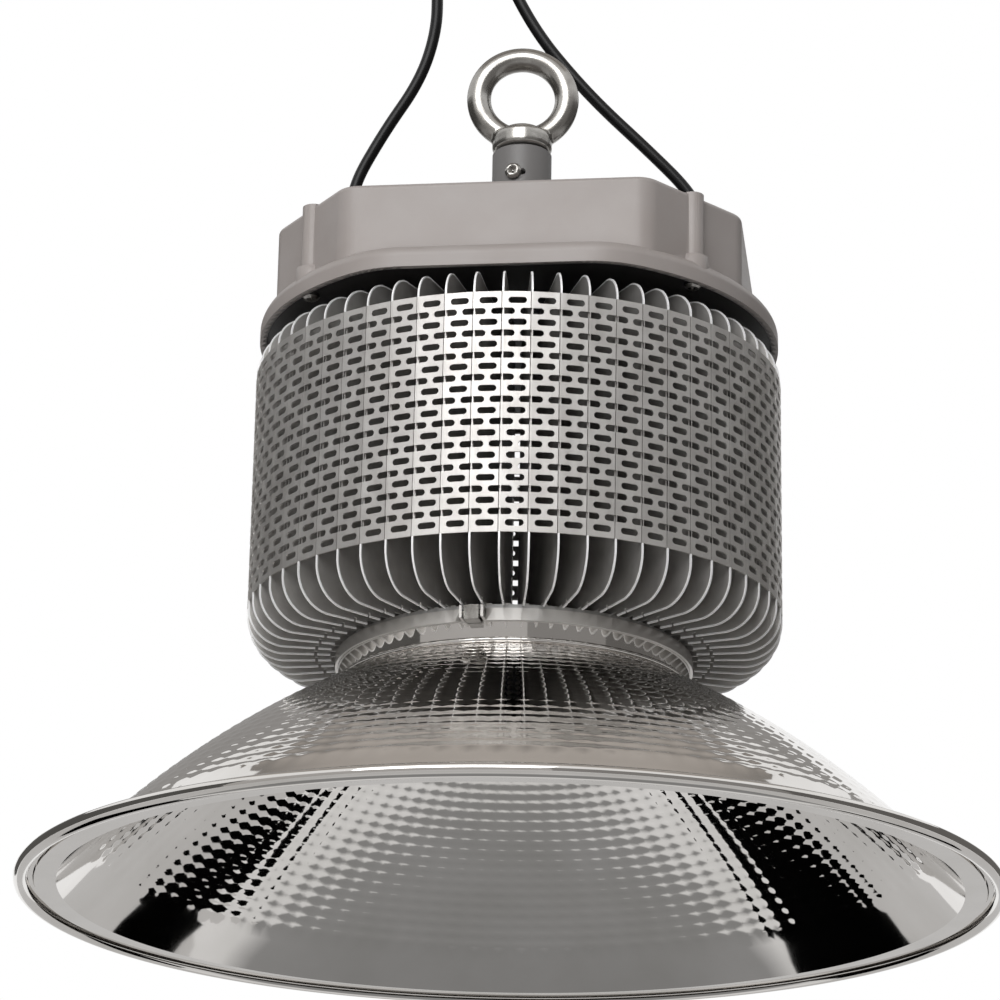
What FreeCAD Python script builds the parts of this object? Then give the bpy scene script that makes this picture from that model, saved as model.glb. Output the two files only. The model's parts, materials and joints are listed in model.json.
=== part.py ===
import FreeCAD, Part

import math
import os
from types import SimpleNamespace

import Sketcher
from FreeCAD import Placement, Rotation, Vector

"""High bay light: a spun reflector clamped under a radial fin heat sink, with the driver
housing on four posts above it and a lifting eye on the housing's stem.

Millimetres, +Z up. The origin is at the centre of the plane that the reflector's rim rests on.
Azimuths are in degrees from -Y (the front) towards +X.
"""

UP = Vector(0, 0, 1)
TINY = 1e-6
ARC_SHARE = 0.45  # how much of a cord's run each of its arcs takes
RING_SCREWS = 6
BOARD_SCREWS = 3
PACKAGE_RINGS = [24, 18, 12]  # LED packages in each ring, from the outer one inwards
PACKAGES_IN_CORE = 6
HEAD_SIDE = 0.55  # how much of a pan head's height its upright side takes
HEAD_CROWN = 0.72  # flat of a pan head, over its radius
CROSS_REACH = 0.5  # cross recess, over the head's radius
CROSS_HALF = 0.12
CORES = 3
CORE_SPREAD = 0.35  # how far a stripped core leans out, for each millimetre along

# Name, value and meaning of every size that can be set by itself.
SIZES = [
    # Reflector
    ("rim_radius", 215, "outside of the rolled rim"),
    ("rim_bead", 3.2, "radius of the rolled rim's section"),
    ("reflector_wall", 1.0, "spun aluminium sheet"),
    ("lip_width", 18, "flat lip between the bell and the outside of the rim"),
    ("lip_height", 3.7, "upper face of the lip"),
    ("lip_step", 0.8, "the lip steps up by this before the rim"),
    ("lip_step_inset", 9.5, "that step inside the rim's outside"),
    ("curl_end", 150, "how far the rim is rolled round below its middle, degrees"),
    ("bell_rise", 95.5, "rim plane to the foot of the neck"),
    ("bell_bulge", 6.8, "how far the bell's middle stands out of its chord"),
    ("neck_radius", 78, "outside of the neck"),
    ("neck_length", 14.2, "neck above the bell"),
    ("neck_bead", 1.2, "radius of the bead round the foot of the neck"),
    # Base plate and its band clamp
    ("slip_fit", 0.2, "clearance of turned parts that slide together"),
    ("plate_seat", 8.0, "underside of the plate above the foot of the neck"),
    ("plate_thickness", 9.2, "heat spreader"),
    ("band_wall", 1.2, "clamp band strip"),
    ("band_width", 5.4, "clamp band strip"),
    ("band_drop", 2.3, "top of the band below the top of the plate"),
    ("band_turn", -12.6, "azimuth of the clamp's closure"),
    ("ear_gap", 8.2, "clear width between the band's ears"),
    ("ear_reach", 5.6, "how far the ears stand out of the band"),
    ("block_width", 6.4, "clamp block along the band"),
    ("block_rise", 6.2, "clamp block, upright"),
    ("band_fit", 0.1, "between band and neck"),
    ("clamp_pin", 1.2, "radius of the pin through ears and block"),
    # Fins
    ("fin_count", 60, "folded fins round the axis"),
    ("fins_in_sector", 5, "fins soldered up as one sector"),
    ("fin_turn", -3.4, "azimuth of the first fin"),
    ("fin_radius", 119, "fold line of a fin"),
    ("fin_bore", 34, "inner edge of a fin"),
    ("fin_sheet", 0.8, "fin sheet"),
    ("fin_foot_clearance", 2.2, "a fin steps down this far outside the clamp band"),
    ("fin_foot_drop", 2.0, "height of that step"),
    ("fin_skirt", 20.5, "lower edge of a fin below its folded flange"),
    ("flange_height", 108, "perforated flange of a fin"),
    ("fin_crown", 13.5, "top edge of a fin above its flange"),
    ("low_round", 17, "outer lower corner of a fin"),
    ("top_round", 13, "outer upper corner of a fin"),
    ("notch_offset", 10, "locating notches in a fin's edges, outside the neck"),
    ("notch_width", 1.4, ""),
    ("notch_depth", 1.8, ""),
    ("tab_inset", 2, "end of a fin's foot tab inside the neck"),
    ("tab_length", 8, "foot tab along the lower edge of a fin"),
    ("tab_width", 2.2, ""),
    ("seam_gap", 0.3, "between a flange and the next fin's fold"),
    ("slot_length", 7.9, "slot in the middle of a flange"),
    ("slot_height", 2.9, ""),
    ("slot_rows", 11, "rows of whole slots"),
    ("slot_edge", 4.0, "first row above the flange's lower edge"),
    ("seam_slot_reach", 5.1, "slots that open into the seams, from the seam"),
    # Light engine
    ("board_margin", 8, "edge of the circuit board inside the lens's edge"),
    ("board_thickness", 1.6, ""),
    ("package_side", 3.4, "LED package"),
    ("package_height", 0.8, ""),
    ("package_inset", 10, "outer ring of packages inside the board's edge"),
    ("package_step", 10, "between the rings of packages"),
    ("package_core", 10, "radius of the middle ring"),
    ("lens_ring_wall", 6.4, "ring beside the edge of the lens"),
    ("lens_thickness", 3.0, ""),
    ("lens_gasket_height", 3.1, "holds the cover off the packages"),
    ("lens_gasket_width", 5.0, ""),
    ("lens_ring_lip", 1.8, "flange of the ring under the cover"),
    ("lens_ring_cover", 4, "how far that flange reaches under the lens"),
    ("screw_inset", 2.9, "ring screws inside the ring's edge"),
    ("board_screw_inset", 4, "board screws inside the board's edge"),
    # Posts between the base plate and the driver housing
    ("post_radius", 4.0, ""),
    ("post_circle", 24, ""),
    ("crown_gap", 7.0, "top edges of the fins to the housing cover"),
    # Driver housing
    ("housing_turn", -6.8, "the housing is turned about the axis"),
    ("flange_radius", 118, "round skirt of the housing"),
    ("flange_flat", 106.5, "the skirt's front and back flats, from the axis"),
    ("skirt_reach", 2.5, "skirt below the cover plate"),
    ("skirt_height", 11, "whole skirt, up to its shoulder"),
    ("flat_round", 45, "where a flat meets the round skirt"),
    ("shoulder_round", 6, ""),
    ("housing_wall", 3, "die-cast wall"),
    ("box_half_width", 104.5, "housing box across, from the axis"),
    ("box_half_depth", 96, "housing box front to back, from the axis"),
    ("box_height", 33, "above the shoulder"),
    ("corner_across", 37.5, "chamfered corner, across"),
    ("corner_deep", 47, "chamfered corner, front to back"),
    ("box_corner_round", 12, ""),
    ("box_top_round", 2.5, ""),
    ("column_radius", 5, "screw columns on the chamfers"),
    ("column_reach", 3.2, "how far a column stands out of its chamfer"),
    ("column_foot", 7, "radius of a column's foot"),
    ("column_foot_height", 3, ""),
    ("stem_radius", 13.75, "stem that carries the eye"),
    ("stem_height", 54.7, ""),
    ("stem_round", 5, "fillet at the foot of the stem"),
    ("stem_step", 0.4, "cast pad under that fillet"),
    ("column_tap", 14, "thread depth in a column"),
    ("lock_turn", -16, "azimuth of the eye's lock screw"),
    ("lock_height", 40.5, "lock screw above the box"),
    ("spare_turn", 1, "azimuth of the unused tapped hole beside it"),
    ("cover_thickness", 2, "steel cover plate"),
    ("housing_gasket", 1.5, "gasket between cover and housing"),
    # Eye bolt
    ("eye_radius", 20.5, "centre line of the ring"),
    ("eye_bar", 5.6, "radius of the ring's bar"),
    ("eye_height", 28.1, "centre of the ring above the stem"),
    ("collar_radius", 14, ""),
    ("collar_height", 9.2, ""),
    ("collar_gap", 0.8, "collar above the stem"),
    ("collar_round", 2.5, ""),
    ("shank_radius", 6, "M12 shank"),
    ("shank_length", 22, ""),
    # Driver and terminals
    ("driver_length", 140, ""),
    ("driver_width", 62, ""),
    ("driver_height", 27, ""),
    ("driver_flange", 8, "end flanges of the driver, and the rails under them"),
    ("driver_base", 2, "thickness of those flanges"),
    ("rail_height", 3.3, "rails under the driver"),
    ("terminal_length", 44, ""),
    ("terminal_width", 16, ""),
    ("terminal_height", 15, ""),
    ("terminal_offset", 52, "terminal block behind the axis"),
    # Screws, named after their thread
    ("m3_radius", 1.5, ""),
    ("m4_radius", 2.0, ""),
    ("m3_head", 2.8, ""),
    ("m4_head", 3.8, ""),
    ("head_share", 0.68, "height of a pan head over its radius"),
    ("pilot_fit", 0.1, "clearance round a shank"),
    ("tap_depth", 6, "blind threads in the plate"),
    ("post_grip", 10, "thread of a screw in a post or a column"),
    ("edge_break", 0.8, "machined edges"),
    # Glands and leads
    ("gland_offset", 82, "glands to either side of the axis"),
    ("gland_back", 30, "glands behind the axis"),
    ("gland_thread", 6, "M12 gland, radius"),
    ("gland_hex", 8, "half of the width across flats"),
    ("gland_base", 5, "height of the hexagon"),
    ("gland_dome", 12, "height of the dome nut"),
    ("gland_tail", 8, "thread below the roof"),
    ("gland_shoulder", 0.68, "radius of the dome nut's mouth over its base"),
    ("gland_liner", 1.2, "wall of the gland round its seal"),
    ("lead_radius", 2.8, "sheathed leads"),
    ("core_radius", 1.1, "stripped cores at a lead's end"),
    ("core_spacing", 1.4, "cores from the lead's centre line"),
    ("core_straight", 10, "core before and after it leans out"),
    ("ferrule_radius", 1.4, ""),
    ("ferrule_length", 8, ""),
    ("output_lead_radius", 3.0, "driver output lead"),
    ("output_lead_offset", 22, "beside the axis"),
    ("grommet_wall", 1.2, ""),
]


class Size:
    """A length that knows its value and the sheet expression that gives it."""

    def __init__(self, value, text):
        self.value = float(value)
        self.text = text

    @staticmethod
    def of(other):
        return other if isinstance(other, Size) else Size(other, f"({float(other)})")

    def joined(self, sign, other, value):
        return Size(value, f"({self.text} {sign} {other.text})")

    def __add__(self, other):
        other = Size.of(other)
        return self.joined("+", other, self.value + other.value)

    def __radd__(self, other):
        return Size.of(other) + self

    def __sub__(self, other):
        other = Size.of(other)
        return self.joined("-", other, self.value - other.value)

    def __rsub__(self, other):
        return Size.of(other) - self

    def __mul__(self, other):
        other = Size.of(other)
        return self.joined("*", other, self.value * other.value)

    def __rmul__(self, other):
        return Size.of(other) * self

    def __truediv__(self, other):
        other = Size.of(other)
        return self.joined("/", other, self.value / other.value)

    def __rtruediv__(self, other):
        return Size.of(other) / self

    def __neg__(self):
        return Size(-self.value, f"(0 - {self.text})")

    def __float__(self):
        return self.value


def sine(angle):
    """Sine of an angle in degrees."""
    angle = Size.of(angle)
    return Size(math.sin(math.radians(angle.value)), f"sin({angle.text})")


def cosine(angle):
    """Cosine of an angle in degrees."""
    angle = Size.of(angle)
    return Size(math.cos(math.radians(angle.value)), f"cos({angle.text})")


def least(first, second):
    """The smaller of two sizes."""
    first, second = Size.of(first), Size.of(second)
    return Size(min(first.value, second.value), f"min({first.text}; {second.text})")


def root(square):
    """Square root."""
    return Size(math.sqrt(square.value), f"sqrt({square.text})")


def polar(radius, azimuth):
    """Point at a radius and an azimuth from -Y towards +X."""
    return radius * sine(azimuth), -(radius * cosine(azimuth))


def turned_point(x, y, angle):
    """The point (x, y) turned about the axis."""
    return x * cosine(angle) - y * sine(angle), x * sine(angle) + y * cosine(angle)


# Document and sheet ---------------------------------------------------------------------------
doc = FreeCAD.newDocument("high_bay_light")
sheet = doc.addObject("Spreadsheet::Sheet", "sizes")


def fill_sheet():
    """Write every size with its alias, and give them back by name."""
    values = {}
    for row, (name, value, meaning) in enumerate(SIZES, start=1):
        sheet.set(f"A{row}", name)
        sheet.set(f"B{row}", str(value))
        sheet.setAlias(f"B{row}", name)
        sheet.set(f"C{row}", meaning)
        values[name] = Size(value, f"sizes.{name}")
    doc.recompute()
    return SimpleNamespace(**values)


S = fill_sheet()

# Heights from the rim plane up, each built on the one below.
neck_top = S.bell_rise + S.neck_length
plate_low = S.bell_rise + S.plate_seat
plate_top = plate_low + S.plate_thickness
fin_low = plate_top - S.fin_foot_drop
flange_low = fin_low + S.fin_skirt
fin_height = S.fin_skirt + S.flange_height + S.fin_crown
cover_low = fin_low + fin_height + S.crown_gap
cover_top = cover_low + S.cover_thickness
skirt_low = cover_low - S.skirt_reach
land = cover_top + S.housing_gasket
shoulder = skirt_low + S.skirt_height
box_top = shoulder + S.box_height
roof = box_top - S.housing_wall
stem_top = box_top + S.stem_height
collar_low = stem_top + S.collar_gap
eye_centre = stem_top + S.eye_height
driver_low = cover_top + S.rail_height
gland_top = box_top + S.gland_base + S.gland_dome

fin_pitch = 360 / S.fin_count
half_pitch = fin_pitch / 2
lip_radius = S.rim_radius - S.lip_width
lip_step_radius = S.rim_radius - S.lip_step_inset
plate_radius = S.neck_radius - S.reflector_wall - S.slip_fit
ring_outer = plate_radius - S.slip_fit
lens_radius = ring_outer - S.lens_ring_wall - S.slip_fit
board_radius = lens_radius - S.board_margin
band_bore = S.neck_radius + S.band_fit
band_outside = band_bore + S.band_wall
fin_foot_radius = band_outside + S.fin_foot_clearance
notch_radius = S.neck_radius + S.notch_offset
tab_end = S.neck_radius - S.tab_inset


# Helpers --------------------------------------------------------------------------------------
def bind(thing, **values):
    """Set properties; those worked out from the sheet are bound to it by expression."""
    for name, value in values.items():
        if isinstance(value, Size):
            setattr(thing, name, value.value)
            thing.setExpression(name, value.text)
        else:
            setattr(thing, name, value)
    return thing


def place(thing, x=0, y=0, z=0, turn=0, axis=UP):
    """Give the thing its placement, bound to the sheet."""
    thing.Placement = Placement(Vector(float(x), float(y), float(z)), Rotation(axis, float(turn)))
    for path, value in (("Base.x", x), ("Base.y", y), ("Base.z", z), ("Rotation.Angle", turn)):
        if isinstance(value, Size):
            thing.setExpression(f"Placement.{path}", value.text)
    return thing


def new_body(name):
    """PartDesign body with its label."""
    body = doc.addObject("PartDesign::Body", name)
    body.Label = name
    return body


def origin_feature(body, role):
    """One of the body's own origin planes or axes."""
    return next(one for one in body.Origin.OriginFeatures if one.Role == role)


def new_sketch(body, name, role="XY_Plane", lift=0):
    """Sketch on one of the body's origin planes, lifted along the plane's normal."""
    sketch = body.newObject("Sketcher::SketchObject", f"{body.Name}_{name}")
    sketch.AttachmentSupport = (origin_feature(body, role), "")
    sketch.MapMode = "FlatFace"
    sketch.AttachmentOffset = Placement(Vector(0, 0, float(lift)), Rotation())
    if isinstance(lift, Size):
        sketch.setExpression("AttachmentOffset.Base.z", lift.text)
    return sketch


def pin(sketch, edge, end, x, y):
    """Fix a point of an edge at (x, y) from the sketch's origin."""
    for kind, axis, value in (("DistanceX", -2, Size.of(x)), ("DistanceY", -1, Size.of(y))):
        if abs(value.value) < TINY:
            sketch.addConstraint(Sketcher.Constraint("PointOnObject", edge, end, axis))
        else:
            index = sketch.addConstraint(Sketcher.Constraint(kind, -1, 1, edge, end, value.value))
            sketch.setExpression(f"Constraints[{index}]", value.text)


def set_radius(sketch, edge, radius):
    """Fix the radius of a circle or an arc."""
    radius = Size.of(radius)
    index = sketch.addConstraint(Sketcher.Constraint("Radius", edge, radius.value))
    sketch.setExpression(f"Constraints[{index}]", radius.text)


def arc_between(start, end, radius):
    """Arc under a half turn; it turns left where the radius is positive, else right."""
    chord = end - start
    left = Vector(-chord.y, chord.x, 0).normalize()
    height = math.sqrt(max(radius * radius - chord.Length ** 2 / 4, 0))
    centre = (start + end) * 0.5 + left * math.copysign(height, radius)
    first, last = (start, end) if radius > 0 else (end, start)
    angles = [math.atan2(point.y - centre.y, point.x - centre.x) for point in (first, last)]
    return Part.ArcOfCircle(Part.Circle(centre, UP, abs(radius)), *angles)


def outline(sketch, corners):
    """Closed outline. A corner's third value is the radius of the arc that leads to it,
    positive where the arc turns left."""
    points = [Vector(float(corner[0]), float(corner[1]), 0) for corner in corners]
    ends = []
    for index, corner in enumerate(corners):
        start, end = points[index - 1], points[index]
        if len(corner) == 2:
            edge = sketch.addGeometry(Part.LineSegment(start, end), False)
            ends.append((edge, 1, 2))
            continue
        radius = float(corner[2])
        edge = sketch.addGeometry(arc_between(start, end, radius), False)
        ends.append((edge, 1, 2) if radius > 0 else (edge, 2, 1))
    for index, (edge, _, finish) in enumerate(ends):
        following = ends[(index + 1) % len(ends)]
        sketch.addConstraint(Sketcher.Constraint("Coincident", edge, finish, following[0], following[1]))
    for (edge, _, finish), corner in zip(ends, corners):
        pin(sketch, edge, finish, corner[0], corner[1])
        if len(corner) == 3:
            radius = Size.of(corner[2])
            set_radius(sketch, edge, radius if radius.value > 0 else -radius)


def box_outline(sketch, low_x, low_y, high_x, high_y):
    """Rectangle by two opposite corners."""
    outline(sketch, [(low_x, low_y), (high_x, low_y), (high_x, high_y), (low_x, high_y)])


def circles(sketch, *rounds):
    """Circles, each given as (x, y, radius)."""
    for x, y, radius in rounds:
        edge = sketch.addGeometry(Part.Circle(Vector(float(x), float(y), 0), UP, float(radius)), False)
        pin(sketch, edge, 3, x, y)
        set_radius(sketch, edge, radius)


def slots(sketch, *places, reach, radius):
    """Slots with round ends, each given by its centre; reach is half of the length."""
    reach, radius = Size.of(reach), Size.of(radius)
    for x, y in places:
        x, y = Size.of(x), Size.of(y)
        left, right = x - reach + radius, x + reach - radius
        low, high = float(y - radius), float(y + radius)
        middle = Vector(float(right), float(y), 0)
        other = Vector(float(left), float(y), 0)
        quarter = math.pi / 2
        edges = [
            Part.LineSegment(Vector(other.x, low, 0), Vector(middle.x, low, 0)),
            Part.ArcOfCircle(Part.Circle(middle, UP, float(radius)), -quarter, quarter),
            Part.LineSegment(Vector(middle.x, high, 0), Vector(other.x, high, 0)),
            Part.ArcOfCircle(Part.Circle(other, UP, float(radius)), quarter, 3 * quarter),
        ]
        ids = [sketch.addGeometry(edge, False) for edge in edges]
        for index, edge in enumerate(ids):
            sketch.addConstraint(Sketcher.Constraint("Tangent", edge, 2, ids[(index + 1) % 4], 1))
        pin(sketch, ids[1], 3, right, y)
        pin(sketch, ids[3], 3, left, y)
        set_radius(sketch, ids[1], radius)
        sketch.addConstraint(Sketcher.Constraint("Equal", ids[1], ids[3]))


def pad(body, sketch, height, middle=False):
    """Pad, upward from the sketch or to both sides of it."""
    feature = body.newObject("PartDesign::Pad", f"{sketch.Name}_pad")
    feature.Profile = sketch
    feature.SideType = "Symmetric" if middle else "One side"
    bind(feature, Length=height)
    doc.recompute()
    return feature


def pocket(body, sketch, depth=None, backward=False):
    """Pocket below the sketch, right through where no depth is given."""
    before = body.Shape.Volume
    feature = body.newObject("PartDesign::Pocket", f"{sketch.Name}_pocket")
    feature.Profile = sketch
    feature.Reversed = backward
    if depth is None:
        feature.Type = "ThroughAll"
    else:
        bind(feature, Length=depth)
    doc.recompute()
    if body.Shape.Volume > before - TINY:
        raise RuntimeError(f"{sketch.Name} cuts nothing")
    return feature


def drill(body, name, *rounds, lift=0, depth=None, backward=True):
    """Round holes along +Z from the given height, or along -Z where backward is False."""
    sketch = new_sketch(body, name, lift=lift)
    circles(sketch, *rounds)
    return pocket(body, sketch, depth, backward)


def row_of(body, feature, count, length):
    """Repeat a feature along +Z."""
    pattern = body.newObject("PartDesign::LinearPattern", f"{feature.Name}_row")
    pattern.Originals = [feature]
    pattern.Direction = (origin_feature(body, "Z_Axis"), [""])
    bind(pattern, Length=length)
    pattern.Occurrences = int(count.value)
    pattern.setExpression("Occurrences", count.text)
    body.Tip = pattern
    doc.recompute()
    return pattern


def turned(name, corners):
    """Turned part: the half section, as (radius, height) corners, round the body's axis."""
    body = new_body(name)
    sketch = new_sketch(body, "section", "XZ_Plane")
    outline(sketch, corners)
    feature = body.newObject("PartDesign::Revolution", f"{name}_turn")
    feature.Profile = sketch
    feature.ReferenceAxis = (sketch, ["V_Axis"])
    feature.Angle = 360
    doc.recompute()
    return body


def ring_section(inner, outer, low, high):
    """Half section of a plain ring."""
    return [(inner, low), (outer, low), (outer, high), (inner, high)]


def soften(body, name, radius, wanted):
    """Fillet those edges of the body's tip that the test picks."""
    base = body.Tip
    picked = [f"Edge{index}" for index, edge in enumerate(base.Shape.Edges, start=1) if wanted(edge)]
    if not picked:
        raise RuntimeError(f"{body.Name}: no edge for {name}")
    feature = body.newObject("PartDesign::Fillet", f"{body.Name}_{name}")
    feature.Base = (base, picked)
    bind(feature, Radius=radius)
    doc.recompute()
    return feature


def is_upright(edge):
    """True for a straight edge along Z."""
    run = edge.Vertexes[-1].Point - edge.Vertexes[0].Point
    return edge.Curve.TypeId == "Part::GeomLine" and abs(run.z) > TINY and math.hypot(run.x, run.y) < TINY


def at_height(height):
    """Test for the edges that lie in one level."""
    level = float(height)
    return lambda edge: all(abs(vertex.Z - level) < TINY for vertex in edge.Vertexes)


def group(name, master, places):
    """One node of equal pieces: each place is the keywords of place()."""
    links = []
    for index, where in enumerate(places, start=1):
        link = doc.addObject("App::Link", f"{name}_{index}")
        link.LinkedObject = master
        links.append(place(link, **where))
    compound = doc.addObject("Part::Compound", name)
    compound.Label = name
    compound.Links = links
    return compound


def fused(name, *things):
    """Several shapes joined into one solid."""
    union = doc.addObject("Part::MultiFuse", name)
    union.Shapes = list(things)
    union.Label = name
    return union


def cut(name, base, tool):
    """Base less tool."""
    rest = doc.addObject("Part::Cut", name)
    rest.Base = base
    rest.Tool = tool
    rest.Label = name
    return rest


def cylinder(name, radius, height, **where):
    """Part cylinder, upright unless the place turns it."""
    rod = doc.addObject("Part::Cylinder", name)
    bind(rod, Radius=radius, Height=height)
    return place(rod, **where)


def brick(name, length, width, height, **where):
    """Part box from its corner."""
    block = doc.addObject("Part::Box", name)
    bind(block, Length=length, Width=width, Height=height)
    return place(block, **where)


def screw(name, radius, length, head, rise):
    """Pan-head screw with a cross recess: the head stands on z = 0 and the shank hangs below."""
    body = turned(name, [(0, -length), (radius, -length), (radius, 0), (head, 0),
                         (head, rise * HEAD_SIDE), (head * HEAD_CROWN, rise), (0, rise)])
    cross = new_sketch(body, "cross", lift=rise)
    arm, half = head * CROSS_REACH, head * CROSS_HALF
    outline(cross, [(half, half), (half, arm), (-half, arm), (-half, half), (-arm, half),
                    (-arm, -half), (-half, -half), (-half, -arm), (half, -arm), (half, -half),
                    (arm, -half), (arm, half)])
    pocket(body, cross, rise / 2)
    return body


def route_wire(name, points):
    """Straight runs joined by tangent arcs, each as large as its two runs allow."""
    points = [Vector(*point) for point in points]
    edges, radii, last = [], [], points[0]
    for before, here, after in zip(points, points[1:], points[2:]):
        back, ahead = before - here, after - here
        half_turn = (math.pi - back.getAngle(ahead)) / 2
        reach = ARC_SHARE * min(back.Length, ahead.Length)
        radius = reach / math.tan(half_turn)
        start = here + back.normalize() * reach
        end = here + ahead.normalize() * reach
        inward = (back + ahead).normalize()
        middle = here + inward * (radius / math.cos(half_turn) - radius)
        edges += [Part.LineSegment(last, start).toShape(), Part.Arc(start, middle, end).toShape()]
        radii.append(radius)
        last = end
    edges.append(Part.LineSegment(last, points[-1]).toShape())
    print(name, "radii", [round(radius, 1) for radius in radii],
          "length", round(sum(edge.Length for edge in edges), 1))
    return Part.Wire(edges)


def cord_tube(name, points, radius):
    """Round cord swept along its route."""
    wire = route_wire(name, points)
    spine = doc.addObject("Part::Feature", f"{name}_route")
    spine.Shape = wire
    section = doc.addObject("Part::Circle", f"{name}_section")
    bind(section, Radius=radius)
    along = wire.Edges[0].tangentAt(wire.Edges[0].FirstParameter)
    section.Placement = Placement(Vector(*points[0]), Rotation(UP, along))
    tube = doc.addObject("Part::Sweep", name)
    tube.Sections = [section]
    tube.Spine = (spine, [f"Edge{index}" for index in range(1, len(wire.Edges) + 1)])
    tube.Solid = True
    tube.Label = name
    doc.recompute()
    expected = math.pi * float(radius) ** 2 * wire.Length
    if abs(tube.Shape.Volume / expected - 1) > 0.01:
        raise RuntimeError(f"{name}: volume {tube.Shape.Volume:.0f} is not {expected:.0f}")
    return tube


def in_housing(x, y):
    """A point given in the housing's own turned frame."""
    world_x, world_y = turned_point(Size.of(x), Size.of(y), S.housing_turn)
    return {"x": world_x, "y": world_y}


def quadrants(x, y):
    """The four mirror images of a point."""
    return [(x, y), (-x, y), (-x, -y), (x, -y)]


def ring_points(radius, count, first=0):
    """Equally spaced points on a circle, by azimuth."""
    return [polar(radius, first + 360 * index / count) for index in range(count)]


# Reflector ------------------------------------------------------------------------------------
def make_reflector():
    """One spun piece: neck, bell, flat lip with a step, and a rim rolled over into a bead."""
    wall = S.reflector_wall
    rise = S.bell_rise - S.lip_height
    spread = lip_radius - S.neck_radius
    chord_square = rise * rise + spread * spread
    chord = root(chord_square)
    outer = chord_square / (8 * S.bell_bulge) + S.bell_bulge / 2
    inner = outer - wall
    centre_x = (S.neck_radius + lip_radius) / 2 - (outer - S.bell_bulge) * rise / chord
    centre_z = (S.bell_rise + S.lip_height) / 2 - (outer - S.bell_bulge) * spread / chord
    bore = S.neck_radius - wall
    under_lip = S.lip_height - wall
    bore_foot = centre_z + root(inner * inner - (bore - centre_x) * (bore - centre_x))
    lip_start = centre_x + root(inner * inner - (under_lip - centre_z) * (under_lip - centre_z))

    bead = S.rim_bead
    hollow = bead - wall
    bead_x = S.rim_radius - bead
    edge_top = S.lip_height + S.lip_step
    edge_low = under_lip + S.lip_step
    meet_out = bead_x - root(bead * bead - (edge_top - bead) * (edge_top - bead))
    meet_in = bead_x - root(hollow * hollow - (edge_low - bead) * (edge_low - bead))
    back, down = cosine(S.curl_end), sine(S.curl_end)
    return turned("reflector", [
        (S.neck_radius, neck_top),
        (S.neck_radius, S.bell_rise + 2 * S.neck_bead),
        (S.neck_radius + S.neck_bead, S.bell_rise + S.neck_bead, -S.neck_bead),
        (S.neck_radius, S.bell_rise, -S.neck_bead),
        (lip_radius, S.lip_height, -outer),
        (lip_step_radius, S.lip_height),
        (lip_step_radius, edge_top),
        (meet_out, edge_top),
        (bead_x, 2 * bead, -bead),
        (S.rim_radius, bead, -bead),
        (bead_x + bead * back, bead - bead * down, -bead),
        (bead_x + hollow * back, bead - hollow * down),
        (S.rim_radius - wall, bead, hollow),
        (bead_x, bead + hollow, hollow),
        (meet_in, edge_low, hollow),
        (lip_step_radius + wall, edge_low),
        (lip_step_radius + wall, under_lip),
        (lip_start, under_lip),
        (bore, bore_foot, inner),
        (bore, neck_top),
    ])


# Base plate and light engine ------------------------------------------------------------------
m3_rise = S.m3_head * S.head_share
m4_rise = S.m4_head * S.head_share
m3_hole = S.m3_radius + S.pilot_fit
m4_hole = S.m4_radius + S.pilot_fit
post_offset = S.post_circle * cosine(45)
post_places = quadrants(post_offset, post_offset)
lens_low = plate_low - S.lens_gasket_height - S.lens_thickness
ring_low = lens_low - S.lens_ring_lip
ring_screw_places = ring_points(ring_outer - S.screw_inset, RING_SCREWS)
board_screw_places = ring_points(board_radius - S.board_screw_inset, BOARD_SCREWS)


def make_base_plate():
    """Heat spreader that everything is screwed to."""
    body = new_body("base_plate")
    disc = new_sketch(body, "disc")
    circles(disc, (0, 0, plate_radius))
    pad(body, disc, S.plate_thickness)
    lead_hole = (-S.output_lead_offset, 0, S.output_lead_radius + S.pilot_fit)
    drill(body, "through", lead_hole, *[(x, y, m4_hole) for x, y in post_places])
    drill(body, "heads", *[(x, y, S.m4_head + S.pilot_fit) for x, y in post_places], depth=m4_rise)
    drill(body, "ring_taps", *[(x, y, m3_hole) for x, y in ring_screw_places], depth=S.tap_depth)
    drill(body, "board_taps", *[(x, y, m3_hole) for x, y in board_screw_places], depth=S.tap_depth)
    return place(body, z=plate_low, turn=S.housing_turn)


def make_led_board():
    """Aluminium-core circuit board against the underside of the plate."""
    body = new_body("led_board")
    disc = new_sketch(body, "disc")
    circles(disc, (0, 0, board_radius))
    pad(body, disc, S.board_thickness)
    drill(body, "screws", *[(x, y, m3_hole) for x, y in board_screw_places])
    return place(body, z=plate_low - S.board_thickness, turn=S.housing_turn)


def make_led_packages():
    """Rings of LED packages under the board."""
    side = S.package_side
    package = brick("led_package", side, side, S.package_height, x=-side / 2, y=-side / 2)
    low = plate_low - S.board_thickness - S.package_height
    places = []
    outer = board_radius - S.package_inset
    rings = [(outer - S.package_step * index, count) for index, count in enumerate(PACKAGE_RINGS)]
    for radius, count in [*rings, (S.package_core, PACKAGES_IN_CORE)]:
        for x, y in ring_points(radius, count):
            places.append(dict(in_housing(x - side / 2, y - side / 2), z=low, turn=S.housing_turn))
    return group("led_packages", package, places)


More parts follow.
